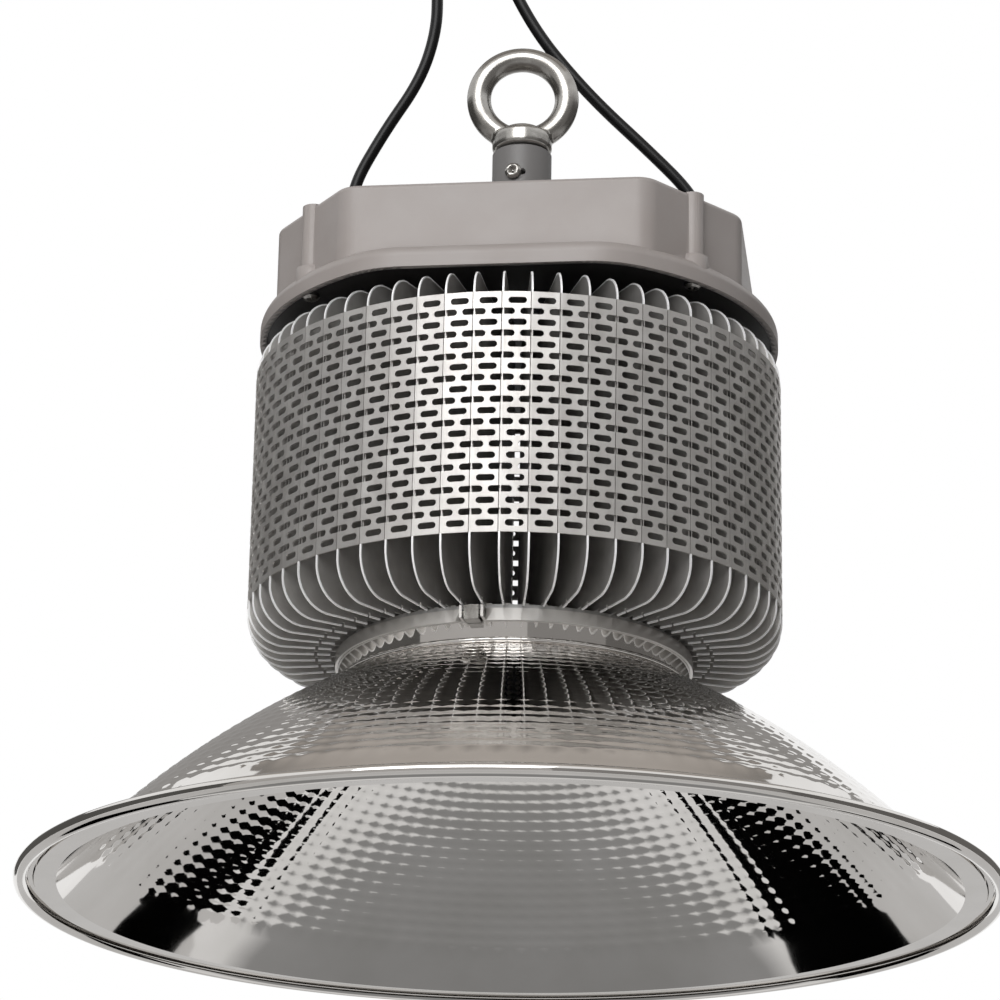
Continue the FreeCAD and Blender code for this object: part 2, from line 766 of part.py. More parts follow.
def make_lens_parts():
    """Gasket, clear cover and the ring that holds both to the plate."""
    inner = lens_radius - S.lens_gasket_width
    gasket = turned("lens_gasket", ring_section(inner, lens_radius, 0, S.lens_gasket_height))
    place(gasket, z=plate_low - S.lens_gasket_height)
    lens = place(turned("lens", [(0, 0), (lens_radius, 0), (lens_radius, S.lens_thickness),
                                 (0, S.lens_thickness)]), z=lens_low)
    seat = lens_radius + S.slip_fit
    bore = lens_radius - S.lens_ring_cover
    height = plate_low - ring_low
    ring = turned("lens_ring", [(bore, 0), (ring_outer, 0), (ring_outer, height),
                                (seat, height), (seat, S.lens_ring_lip),
                                (bore, S.lens_ring_lip)])
    drill(ring, "bolt_holes", *[(x, y, m3_hole) for x, y in ring_screw_places])
    place(ring, z=ring_low, turn=S.housing_turn)
    return [gasket, lens, ring]


# Band clamp -----------------------------------------------------------------------------------
def make_clamp():
    """Split band round the neck, drawn together by a pin through its two ears and a block."""
    half_gap = S.ear_gap / 2
    ear_end = -(band_outside + S.ear_reach)
    low = plate_top - S.band_drop - S.band_width
    pin_y = -(band_outside + S.ear_reach / 2)
    pin_hole = S.clamp_pin + S.pilot_fit

    band = new_body("clamp_band")
    ring = new_sketch(band, "ring")
    circles(ring, (0, 0, band_outside), (0, 0, band_bore))
    pad(band, ring, S.band_width)
    gap = new_sketch(band, "gap")
    box_outline(gap, -half_gap, ear_end, half_gap, -(band_bore - S.ear_reach))
    pocket(band, gap, backward=True)
    ears = new_sketch(band, "ears")
    for side in (-1, 1):
        near, far = half_gap * side, (half_gap + S.band_wall) * side
        box_outline(ears, near, ear_end, far, -(band_bore + S.band_wall / 2))
    pad(band, ears, S.band_width)
    hole = new_sketch(band, "pin_hole", "YZ_Plane")
    circles(hole, (pin_y, S.band_width / 2, pin_hole))
    through = pocket(band, hole, S.ear_gap + 3 * S.band_wall)
    through.SideType = "Symmetric"
    place(band, z=low, turn=S.band_turn)

    block = new_body("clamp_block")
    foot = new_sketch(block, "foot")
    box_outline(foot, -S.block_width / 2, ear_end, S.block_width / 2, -(band_bore + S.slip_fit))
    pad(block, foot, S.block_rise)
    sink = S.block_rise - S.band_width
    bore_sketch = new_sketch(block, "pin_hole", "YZ_Plane")
    circles(bore_sketch, (pin_y, S.band_width / 2 + sink, pin_hole))
    pocket(block, bore_sketch, S.block_width / 2)
    pocket(block, bore_sketch, S.block_width / 2, backward=True)
    place(block, z=low - sink, turn=S.band_turn)

    length = S.ear_gap + 2 * S.band_wall
    start_x, start_y = turned_point(-length / 2, pin_y, S.band_turn)
    along = Vector(math.cos(math.radians(float(S.band_turn))), math.sin(math.radians(float(S.band_turn))), 0)
    rivet = cylinder("clamp_rivet", S.clamp_pin, length)
    rivet.Placement = Placement(Vector(float(start_x), float(start_y), float(low + S.band_width / 2)),
                                Rotation(UP, along))
    rivet.Label = "clamp_rivet"
    return [band, block, rivet]


# Fins -----------------------------------------------------------------------------------------
def make_fin():
    """One folded fin: the upright web along +X and the slotted flange that closes the gap to the
    next fin. z = 0 is the lower edge of the web."""
    body = new_body("fin")
    half = S.notch_width / 2
    low_round = least(S.low_round, S.fin_radius - notch_radius - S.notch_width)
    top_round = least(S.top_round, S.fin_radius - notch_radius - S.notch_width)
    web = new_sketch(body, "web", "XZ_Plane")
    outline(web, [
        (S.fin_bore, S.fin_foot_drop),
        (fin_foot_radius, S.fin_foot_drop),
        (fin_foot_radius, 0),
        (notch_radius - half, 0),
        (notch_radius - half, S.notch_depth),
        (notch_radius + half, S.notch_depth),
        (notch_radius + half, 0),
        (S.fin_radius - low_round, 0),
        (S.fin_radius, low_round, low_round),
        (S.fin_radius, fin_height - top_round),
        (S.fin_radius - top_round, fin_height, top_round),
        (notch_radius + half, fin_height),
        (notch_radius + half, fin_height - S.notch_depth),
        (notch_radius - half, fin_height - S.notch_depth),
        (notch_radius - half, fin_height),
        (S.fin_bore, fin_height),
    ])
    pad(body, web, S.fin_sheet, middle=True)

    foot = new_sketch(body, "tab", lift=S.fin_foot_drop)
    box_outline(foot, tab_end - S.tab_length, 0, tab_end, S.fin_sheet / 2 + S.tab_width)
    pad(body, foot, S.fin_sheet)

    reach = S.fin_radius * sine(half_pitch)
    face = S.fin_radius * cosine(half_pitch)
    flange = new_sketch(body, "flange", lift=S.fin_skirt)
    flange.AttachmentOffset = Placement(Vector(0, 0, float(S.fin_skirt)), Rotation(UP, float(half_pitch)))
    flange.setExpression("AttachmentOffset.Rotation.Angle", half_pitch.text)
    start = -(reach + S.fin_sheet / 2)
    box_outline(flange, face - S.fin_sheet, start, face, reach - S.fin_sheet / 2 - S.seam_gap)
    pad(body, flange, S.flange_height)

    radius = S.slot_height / 2
    step = (S.flange_height - 2 * S.slot_edge) / (S.slot_rows - 1)
    first = S.fin_skirt + S.slot_edge
    whole = face_sketch(body, "slot", face)
    slots(whole, (0, first), reach=S.slot_length / 2, radius=radius)
    row = pocket(body, whole, 2 * S.fin_sheet)
    row_of(body, row, S.slot_rows, step * (S.slot_rows - 1))
    seams = face_sketch(body, "seam_slots", face)
    slots(seams, (-reach, first + step / 2), (reach, first + step / 2),
          reach=S.seam_slot_reach, radius=radius)
    row = pocket(body, seams, 2 * S.fin_sheet)
    row_of(body, row, S.slot_rows - 1, step * (S.slot_rows - 2))
    return body


def face_sketch(body, name, face):
    """Sketch on the outer face of the flange, which stands half a pitch round from the web."""
    sketch = new_sketch(body, name, "YZ_Plane")
    across, ahead = face * sine(half_pitch), face * cosine(half_pitch)
    sketch.AttachmentOffset = Placement(Vector(float(across), 0, float(ahead)),
                                        Rotation(Vector(0, 1, 0), float(half_pitch)))
    sketch.setExpression("AttachmentOffset.Base.x", across.text)
    sketch.setExpression("AttachmentOffset.Base.z", ahead.text)
    sketch.setExpression("AttachmentOffset.Rotation.Angle", half_pitch.text)
    return sketch


def make_fin_sectors():
    """The ring of fins, in sectors of a few fins each."""
    fin = make_fin()
    in_sector = int(S.fins_in_sector.value)
    sectors = []
    for sector in range(int(S.fin_count.value) // in_sector):
        first = sector * in_sector
        places = [{"z": fin_low, "turn": S.fin_turn - 90 + fin_pitch * (first + index)}
                  for index in range(in_sector)]
        sectors.append(group(f"fin_sector_{sector + 1:02d}", fin, places))
    return sectors


# Driver housing -------------------------------------------------------------------------------
chamfer_run = root(S.corner_across * S.corner_across + S.corner_deep * S.corner_deep)
chamfer_area = S.corner_across * S.corner_deep
column_sink = S.column_radius - S.column_reach
column_x = S.box_half_width - S.corner_across / 2 - column_sink * S.corner_deep / chamfer_run
column_y = S.box_half_depth - S.corner_deep / 2 - column_sink * S.corner_across / chamfer_run
column_places = quadrants(column_x, column_y)
gland_places = [(-S.gland_offset, S.gland_back), (S.gland_offset, S.gland_back)]


def flat_disc(name, inset, low, height):
    """Disc with flats at the front and the back, set in from the housing's skirt."""
    radius = S.flange_radius - inset
    flat = S.flange_flat - inset
    end = root(radius * radius - flat * flat)
    body = new_body(name)
    sketch = new_sketch(body, "plan")
    outline(sketch, [(end, -flat), (end, flat, radius), (-end, flat), (-end, -flat, radius)])
    pad(body, sketch, height)
    soften(body, "corners", S.flat_round - inset, is_upright)
    return place(body, z=low, turn=S.housing_turn)


def octagon_block(name, inset, low, height):
    """Box with chamfered corners, set in from the housing's walls."""
    share = 1 - inset * (S.corner_across + S.corner_deep - chamfer_run) / chamfer_area
    width, depth = S.box_half_width - inset, S.box_half_depth - inset
    side_x, side_y = width - S.corner_across * share, depth - S.corner_deep * share
    body = new_body(name)
    sketch = new_sketch(body, "plan")
    outline(sketch, [(width, -side_y), (width, side_y), (side_x, depth), (-side_x, depth),
                     (-width, side_y), (-width, -side_y), (-side_x, -depth), (side_x, -depth)])
    pad(body, sketch, height)
    soften(body, "corners", S.box_corner_round - inset, is_upright)
    return place(body, z=low, turn=S.housing_turn)


def radial(radius, azimuth, height):
    """Placement of a thing whose +Z is to point outward at an azimuth."""
    x, y = polar(radius, azimuth)
    angle = math.radians(float(azimuth))
    return {"x": x, "y": y, "z": height, "turn": 90, "axis": Vector(math.cos(angle), math.sin(angle), 0)}


def make_housing():
    """Die-cast housing: round skirt, chamfered box, four screw columns and the stem."""
    skirt = flat_disc("housing_skirt", 0, skirt_low, S.skirt_height)
    soften(skirt, "shoulder", S.shoulder_round, at_height(S.skirt_height))
    box = octagon_block("housing_box", 0, land, box_top - land)
    soften(box, "top", S.box_top_round, at_height(box_top - land))
    cavity = octagon_block("housing_cavity", S.housing_wall, skirt_low, roof - skirt_low)
    recess = flat_disc("housing_recess", S.housing_wall, skirt_low, land - skirt_low)
    shell = cut("housing_shell", fused("housing_outside", skirt, box),
                fused("housing_inside", cavity, recess))

    foot = S.housing_wall + S.stem_step
    stem = turned("housing_stem", [
        (0, 0),
        (S.stem_radius + S.stem_round, 0),
        (S.stem_radius + S.stem_round, foot),
        (S.stem_radius, foot + S.stem_round, -S.stem_round),
        (S.stem_radius, stem_top - roof - S.edge_break),
        (S.stem_radius - S.edge_break, stem_top - roof),
        (0, stem_top - roof),
    ])
    place(stem, z=roof)
    cast = [shell, stem]
    tools = []
    for index, (x, y) in enumerate(column_places, start=1):
        spot = in_housing(x, y)
        cast.append(cylinder(f"column_{index}", S.column_radius, box_top - land, z=land, **spot))
        cast.append(cylinder(f"column_foot_{index}", S.column_foot,
                             shoulder + S.column_foot_height - land, z=land, **spot))
        tools.append(cylinder(f"column_tap_{index}", m4_hole, S.column_tap, z=land, **spot))
    for index, (x, y) in enumerate(gland_places, start=1):
        tools.append(cylinder(f"gland_hole_{index}", S.gland_thread + S.pilot_fit,
                              2 * S.housing_wall, z=roof - S.housing_wall / 2, **in_housing(x, y)))
    bore_depth = S.shank_length + S.edge_break
    tools.append(cylinder("eye_bore", S.shank_radius + S.pilot_fit, bore_depth, z=stem_top - bore_depth))
    for name, radius, azimuth in (("lock_hole", m4_hole, S.lock_turn), ("spare_hole", m3_hole, S.spare_turn)):
        tools.append(cylinder(name, radius, S.stem_radius, **radial(0, azimuth, S.lock_height + box_top)))
    return cut("driver_housing", fused("housing_cast", *cast), fused("housing_holes", *tools))


def make_cover_parts():
    """Steel cover plate under the housing and its gasket."""
    inset = S.housing_wall + S.slip_fit
    cover = flat_disc("cover_plate", inset, cover_low, S.cover_thickness)
    drill(cover, "post_holes", *[(x, y, m4_hole) for x, y in post_places])
    drill(cover, "rim_holes", *[(x, y, m4_hole) for x, y in column_places])
    drill(cover, "lead_hole", (-S.output_lead_offset, 0, S.output_lead_radius + S.grommet_wall))
    drill(cover, "rail_holes", *[(x, y, m3_hole) for x, y in quadrants(driver_screw_x, driver_screw_y)])
    drill(cover, "terminal_holes", *[(x, S.terminal_offset, m3_hole) for x in (-terminal_screw_x,
                                                                             terminal_screw_x)])
    sheet_of_rubber = flat_disc("gasket_blank", inset, cover_top, S.housing_gasket)
    opening = octagon_block("gasket_opening", S.housing_wall, cover_top, S.housing_gasket)
    holes = [cylinder(f"gasket_hole_{index}", m4_hole, S.housing_gasket, z=cover_top, **in_housing(x, y))
             for index, (x, y) in enumerate(column_places, start=1)]
    return [cover, cut("housing_gasket", sheet_of_rubber, fused("gasket_holes", opening, *holes))]


# What is inside the housing -------------------------------------------------------------------
driver_screw_x = S.driver_length / 2 + S.driver_flange / 2
driver_screw_y = S.driver_width / 2 - S.driver_flange
terminal_screw_x = S.terminal_length / 2 - S.m4_head


def make_driver_parts():
    """LED driver with end flanges, screwed down over two rails, and the mains terminal block."""
    driver = new_body("driver_unit")
    half_width = S.driver_width / 2
    base = new_sketch(driver, "base")
    long_half = S.driver_length / 2 + S.driver_flange
    box_outline(base, -long_half, -half_width, long_half, half_width)
    pad(driver, base, S.driver_base)
    case = new_sketch(driver, "case")
    box_outline(case, -S.driver_length / 2, -half_width, S.driver_length / 2, half_width)
    pad(driver, case, S.driver_height)
    soften(driver, "edges", S.driver_base / 2, at_height(S.driver_height))
    drill(driver, "holes", *[(x, y, m3_hole) for x, y in quadrants(driver_screw_x, driver_screw_y)])
    place(driver, z=driver_low, turn=S.housing_turn)

    rail = new_body("driver_rail")
    strip = new_sketch(rail, "strip")
    box_outline(strip, -S.driver_flange / 2, -half_width, S.driver_flange / 2, half_width)
    pad(rail, strip, S.rail_height)
    drill(rail, "holes", (0, driver_screw_y, m3_hole), (0, -driver_screw_y, m3_hole))
    rails = group("driver_rails", rail, [dict(in_housing(x, 0), z=cover_top, turn=S.housing_turn)
                                         for x in (-driver_screw_x, driver_screw_x)])

    terminal = new_body("terminal_block")
    plan = new_sketch(terminal, "plan")
    half_length, half_depth = S.terminal_length / 2, S.terminal_width / 2
    box_outline(plan, -half_length, -half_depth, half_length, half_depth)
    pad(terminal, plan, S.terminal_height)
    drill(terminal, "holes", (-terminal_screw_x, 0, m3_hole), (terminal_screw_x, 0, m3_hole))
    place(terminal, z=cover_top, turn=S.housing_turn, **in_housing(0, S.terminal_offset))
    return [driver, rails, terminal]


# Eye bolt -------------------------------------------------------------------------------------
def make_eye_bolt():
    """Lifting eye: ring, collar and threaded shank in one forging."""
    ring = doc.addObject("Part::Torus", "eye_ring")
    bind(ring, Radius1=S.eye_radius, Radius2=S.eye_bar)
    place(ring, z=eye_centre, turn=90, axis=Vector(1, 0, 0))
    soft = S.collar_round
    collar = turned("eye_collar", [
        (0, -S.collar_gap - S.shank_length),
        (S.shank_radius - S.edge_break, -S.collar_gap - S.shank_length),
        (S.shank_radius, S.edge_break - S.collar_gap - S.shank_length),
        (S.shank_radius, 0),
        (S.collar_radius - soft, 0),
        (S.collar_radius, soft, soft),
        (S.collar_radius, S.collar_height - soft),
        (S.collar_radius - soft, S.collar_height, soft),
        (0, S.collar_height),
    ])
    place(collar, z=collar_low)
    return fused("eye_bolt", ring, collar)


# Screws and posts -----------------------------------------------------------------------------
def make_fasteners():
    """Every kind of screw once, then its copies where they are screwed in."""
    m3_short = screw("m3_short", S.m3_radius, S.driver_base + S.rail_height, S.m3_head, m3_rise)
    m3_long = screw("m3_long", S.m3_radius, S.terminal_height + S.cover_thickness, S.m3_head, m3_rise)
    m3_ring = screw("m3_ring", S.m3_radius, plate_low - ring_low + S.tap_depth - S.edge_break,
                    S.m3_head, m3_rise)
    m3_thin = screw("m3_thin", S.m3_radius, S.board_thickness + S.tap_depth - S.edge_break,
                    S.m3_head, S.package_height)
    m4_top = screw("m4_top", S.m4_radius, S.cover_thickness + S.post_grip, S.m4_head, m4_rise)
    m4_low = screw("m4_low", S.m4_radius, S.plate_thickness - m4_rise + S.post_grip, S.m4_head, m4_rise)
    m4_cover = screw("m4_cover", S.m4_radius, S.cover_thickness + S.housing_gasket + S.post_grip,
                     S.m4_head, m4_rise)
    m4_lock = screw("m4_lock", S.m4_radius, S.stem_radius - S.shank_radius - S.pilot_fit,
                    S.m4_head, m4_rise)

    def upright(places, height):
        return [dict(in_housing(x, y), z=height, turn=S.housing_turn) for x, y in places]

    def hanging(places, height):
        return [dict(in_housing(x, y), z=height, turn=180, axis=Vector(1, 0, 0)) for x, y in places]

    terminal_places = [(-terminal_screw_x, S.terminal_offset), (terminal_screw_x, S.terminal_offset)]
    return [
        group("post_screws_top", m4_top, upright(post_places, cover_top)),
        group("post_screws_low", m4_low, hanging(post_places, plate_low + m4_rise)),
        group("cover_screws", m4_cover, hanging(column_places, cover_low)),
        group("driver_screws", m3_short,
              upright(quadrants(driver_screw_x, driver_screw_y), driver_low + S.driver_base)),
        group("terminal_screws", m3_long, upright(terminal_places, cover_top + S.terminal_height)),
        group("lens_ring_screws", m3_ring, hanging(ring_screw_places, ring_low)),
        group("board_screws", m3_thin, hanging(board_screw_places, plate_low - S.board_thickness)),
        group("eye_lock_screw", m4_lock,
              [radial(S.stem_radius, S.lock_turn, S.lock_height + box_top)]),
    ]


def make_posts():
    """Four posts between the plate and the cover, tapped at both ends."""
    length = cover_low - plate_top
    depth = S.post_grip + S.edge_break
    post = turned("post", [
        (m4_hole, 0), (S.post_radius, 0), (S.post_radius, length), (m4_hole, length),
        (m4_hole, length - depth), (0, length - depth), (0, depth), (m4_hole, depth),
    ])
    return group("posts", post, [dict(in_housing(x, y), z=plate_top) for x, y in post_places])


# Glands and leads -----------------------------------------------------------------------------
def hexagon(sketch, half_across):
    """Hexagon by half of its width across flats."""
    radius = half_across / cosine(30)
    outline(sketch, [(radius * cosine(60 * index), radius * sine(60 * index)) for index in range(6)])


def make_glands():
    """Cable glands through the housing's roof; z = 0 is the roof's upper face."""
    bore = S.lead_radius + S.gland_liner
    thread_low = -(S.housing_wall + S.gland_tail)
    thread_top = S.gland_base + S.gland_dome / 2
    sleeve_low = thread_top + S.slip_fit
    sleeve_top = S.gland_base + S.gland_dome - S.gland_liner

    body = turned("gland_body", ring_section(bore, S.gland_thread, thread_low, thread_top))
    collar = new_sketch(body, "hexagon")
    hexagon(collar, S.gland_hex)
    circles(collar, (0, 0, bore))
    pad(body, collar, S.gland_base)

    inner = S.gland_thread + S.pilot_fit
    outer = S.gland_hex - S.slip_fit
    nut_top = S.gland_base + S.gland_dome
    passage = S.lead_radius + S.slip_fit
    shoulder_x = outer * S.gland_shoulder
    nut = turned("gland_nut", [
        (inner, S.gland_base), (outer, S.gland_base), (outer, thread_top + S.gland_liner),
        (shoulder_x, nut_top, outer), (passage, nut_top), (passage, sleeve_top), (inner, sleeve_top),
    ])
    locknut = new_body("gland_locknut")
    plan = new_sketch(locknut, "hexagon")
    hexagon(plan, S.gland_hex)
    circles(plan, (0, 0, S.gland_thread + S.pilot_fit))
    pad(locknut, plan, S.gland_tail / 2)
    seal = turned("gland_seal", ring_section(passage, inner - S.slip_fit, sleeve_low, sleeve_top))

    def copies(height):
        return [dict(in_housing(x, y), z=height, turn=S.housing_turn) for x, y in gland_places]

    return [group("gland_bodies", body, copies(box_top)), group("gland_nuts", nut, copies(box_top)),
            group("gland_locknuts", locknut, copies(roof - S.gland_tail / 2)),
            group("gland_seals", seal, copies(box_top))]


# Routes of the leads above their glands, from the gland's mouth up. A lead leans over the housing,
# passes beside the eye and ends in stripped cores.
LEFT_ROUTE = [
    (-77.87, 39.5, 318.2), (-77.87, 39.5, 334.0), (-81.4, 39.5, 353.2), (-66.2, 39.2, 384.0),
    (-49.5, 38.6, 411.0), (-42.3, 37.8, 436.0), (-41.8, 37.2, 458.0), (-44.5, 36.4, 480.0),
    (-45.2, 36.0, 497.0),
]
RIGHT_ROUTE = [
    (84.97, 20.08, 318.2), (84.97, 20.08, 333.5), (78.5, 20.0, 348.0), (59.0, 19.8, 368.5),
    (38.0, 19.4, 389.0), (23.0, 19.2, 406.0), (8.0, 18.9, 425.3), (-4.5, 18.6, 448.0),
    (-12.5, 18.3, 469.0), (-16.0, 18.0, 486.0),
]


def make_leads():
    """Two sheathed leads, their stretches inside the housing and their stripped ends."""
    parts = []
    for side, name, route in ((-1, "left", LEFT_ROUTE), (1, "right", RIGHT_ROUTE)):
        mouth = in_housing(S.gland_offset * side, S.gland_back)
        start = (float(mouth["x"]), float(mouth["y"]), float(gland_top))
        above = (start[0], start[1], route[1][2])
        parts.append(cord_tube(f"lead_{name}", [start, above] + route[2:], S.lead_radius))
        parts += lead_end(name, Vector(*route[-1]), (Vector(*route[-1]) - Vector(*route[-2])).normalize())
        inside = []
        for x, y, height in INNER_ROUTE:
            spot = in_housing(x * side, y)
            inside.append((float(spot["x"]), float(spot["y"]), height))
        inside[0] = start
        parts.append(cord_tube(f"inner_lead_{name}", inside, S.lead_radius))
    return parts


# Route of a lead inside the housing, in the housing's frame, from the gland's mouth to the
# terminal block's end face; the right-hand one is its mirror image.
INNER_ROUTE = [
    (82.0, 30.0, 318.2), (82.0, 30.0, 284.5), (77.0, 36.0, 273.5), (65.0, 46.0, 267.5),
    (43.5, 52.0, 267.5), (22.0, 52.0, 267.5),
]


def lead_end(name, end, along):
    """Three stripped cores that fan out of the sheath, each with a ferrule."""
    across = along.cross(Vector(0, 1, 0)).normalize()
    cores, ferrules = [], []
    for index in range(CORES):
        outward = Rotation(along, 360 / CORES * index).multVec(across)
        start = end + outward * float(S.core_spacing)
        bend = start + along * float(S.core_straight)
        tip = bend + (along + outward * CORE_SPREAD).normalize() * float(S.core_straight)
        cores.append(cord_tube(f"core_{name}_{index + 1}", [tuple(start), tuple(bend), tuple(tip)],
                               S.core_radius))
        ferrule = cylinder(f"ferrule_{name}_{index + 1}", S.ferrule_radius, S.ferrule_length)
        ferrule.Placement = Placement(tip, Rotation(UP, tip - bend))
        ferrules.append(ferrule)
    return [compound(f"lead_{name}_cores", cores), compound(f"lead_{name}_ferrules", ferrules)]


def compound(name, things):
    """Separate solids under one node name."""
    together = doc.addObject("Part::Compound", name)
    together.Links = things
    together.Label = name
    return together


def make_output_lead():
    """Lead from the board up to the driver, and its grommet in the cover."""
    spot = in_housing(-S.output_lead_offset, 0)
    lead = cylinder("output_lead", S.output_lead_radius, driver_low - plate_low, z=plate_low, **spot)
    lead.Label = "output_lead"
    inner = S.output_lead_radius + S.pilot_fit
    waist = S.output_lead_radius + S.grommet_wall - S.pilot_fit
    lip = waist + S.grommet_wall
    rise = S.grommet_wall
    grommet = turned("lead_grommet", [
        (inner, -rise), (lip, -rise), (lip, 0), (waist, 0), (waist, S.cover_thickness),
        (lip, S.cover_thickness), (lip, S.cover_thickness + rise), (inner, S.cover_thickness + rise),
    ])
    return [lead, place(grommet, z=cover_low, **spot)]


# Checks and export ----------------------------------------------------------------------------
def check(nodes):
    """Stop if anything in the document failed or a node's shape isn't sound."""
    for thing in doc.Objects:
        if "Invalid" in thing.State or "Error" in thing.State:
            raise RuntimeError(f"{thing.Name} failed: {thing.State}")
    for node in nodes:
        if node.Shape.isNull() or not node.Shape.isValid() or not node.Shape.Solids:
            raise RuntimeError(f"{node.Label} has no sound shape")


def export(nodes):
    """Write one STEP file for each node."""
    os.makedirs("parts", exist_ok=True)
    for node in nodes:
        node.Shape.exportStep(f"parts/{node.Label}.step")


def main():
    nodes = [make_reflector(), make_base_plate(), make_led_board(), make_led_packages()]
    nodes += make_lens_parts() + make_clamp() + make_fin_sectors()
    nodes += [make_housing(), make_eye_bolt(), make_posts()]
    nodes += make_cover_parts() + make_driver_parts() + make_fasteners()
    nodes += make_glands() + make_leads() + make_output_lead()
    doc.recompute()
    check(nodes)
    export(nodes)
    print(len(nodes), "nodes")


main()
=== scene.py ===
"""Looks of a high bay light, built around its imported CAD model.

Everything is in metres in the CAD model's frame: +Z up, the front at -Y, and the origin at the
centre of the plane that the reflector's rim rests on.
"""

import json
import logging
import math
from dataclasses import dataclass
from enum import Enum
from typing import Any, Iterable, Sequence

import bpy
from mathutils import Matrix, Vector

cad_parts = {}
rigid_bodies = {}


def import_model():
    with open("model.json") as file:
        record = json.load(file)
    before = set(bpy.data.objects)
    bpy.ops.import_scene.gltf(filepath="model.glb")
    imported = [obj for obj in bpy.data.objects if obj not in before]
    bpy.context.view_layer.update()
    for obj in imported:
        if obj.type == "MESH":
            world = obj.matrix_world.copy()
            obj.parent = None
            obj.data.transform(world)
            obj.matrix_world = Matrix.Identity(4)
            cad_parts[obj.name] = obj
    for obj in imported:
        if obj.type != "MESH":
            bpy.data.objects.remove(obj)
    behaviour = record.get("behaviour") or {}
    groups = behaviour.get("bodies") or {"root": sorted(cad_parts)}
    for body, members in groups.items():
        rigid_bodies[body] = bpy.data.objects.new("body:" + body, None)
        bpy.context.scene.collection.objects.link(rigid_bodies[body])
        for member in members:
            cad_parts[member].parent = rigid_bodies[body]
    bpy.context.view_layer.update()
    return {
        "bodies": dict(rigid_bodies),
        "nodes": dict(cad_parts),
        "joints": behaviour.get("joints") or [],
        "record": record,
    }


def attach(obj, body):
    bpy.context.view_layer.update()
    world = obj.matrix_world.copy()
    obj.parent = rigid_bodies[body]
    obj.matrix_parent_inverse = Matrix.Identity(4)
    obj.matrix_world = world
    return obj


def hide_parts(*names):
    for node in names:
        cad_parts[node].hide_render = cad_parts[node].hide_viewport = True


MM = 0.001
TURN = 2.0 * math.pi
WHITE = (1.0, 1.0, 1.0, 1.0)
BLACK = (0.0, 0.0, 0.0, 1.0)
# Noise lies mostly between these two values.
NOISE_LOW, NOISE_HIGH = 0.3, 0.7
# The colour output of a Mix node comes after those for numbers and vectors.
MIXED_COLOUR = 2
LOG = logging.getLogger("high_bay_light")

Place = tuple[float, float]
Point = tuple[float, float, float]
Colour = tuple[float, float, float, float]
Socket = bpy.types.NodeSocket


# Colours and nodes ----------------------------------------------------------------------------
def linear(code: str) -> Colour:
    """Turn an sRGB hex colour into the linear values that shaders take.

    Args:
        code: The colour as "#RRGGBB".

    Returns:
        Linear red, green and blue, and an alpha of 1.
    """
    parts = [int(code[index:index + 2], 16) / 255.0 for index in (1, 3, 5)]
    curve = [part / 12.92 if part <= 0.04045 else ((part + 0.055) / 1.055) ** 2.4 for part in parts]
    return (curve[0], curve[1], curve[2], 1.0)


def waves_per_metre(size_mm: float) -> float:
    """Scale of a pattern whose features are this many millimetres apart."""
    return 1.0 / (size_mm * MM)


def add_node(
    tree: bpy.types.NodeTree,
    kind: str,
    inputs: dict[str | int, Any] | None = None,
    output: str | int = 0,
    **settings: Any,
) -> Socket:
    """Add one node with its settings and links.

    Args:
        tree: The tree that gets it.
        kind: The node's type name.
        inputs: What goes into its sockets: a value, an output socket to link, or None to leave
            a socket as it is.
        output: The output that is wanted.
        **settings: The node's own properties.

    Returns:
        That output, whose node holds the others.
    """
    node = tree.nodes.new(kind)
    for name, value in settings.items():
        setattr(node, name, value)
    for key, value in (inputs or {}).items():
        if isinstance(value, Socket):
            tree.links.new(value, node.inputs[key])
        elif value is not None:
            node.inputs[key].default_value = value
    return node.outputs[output]


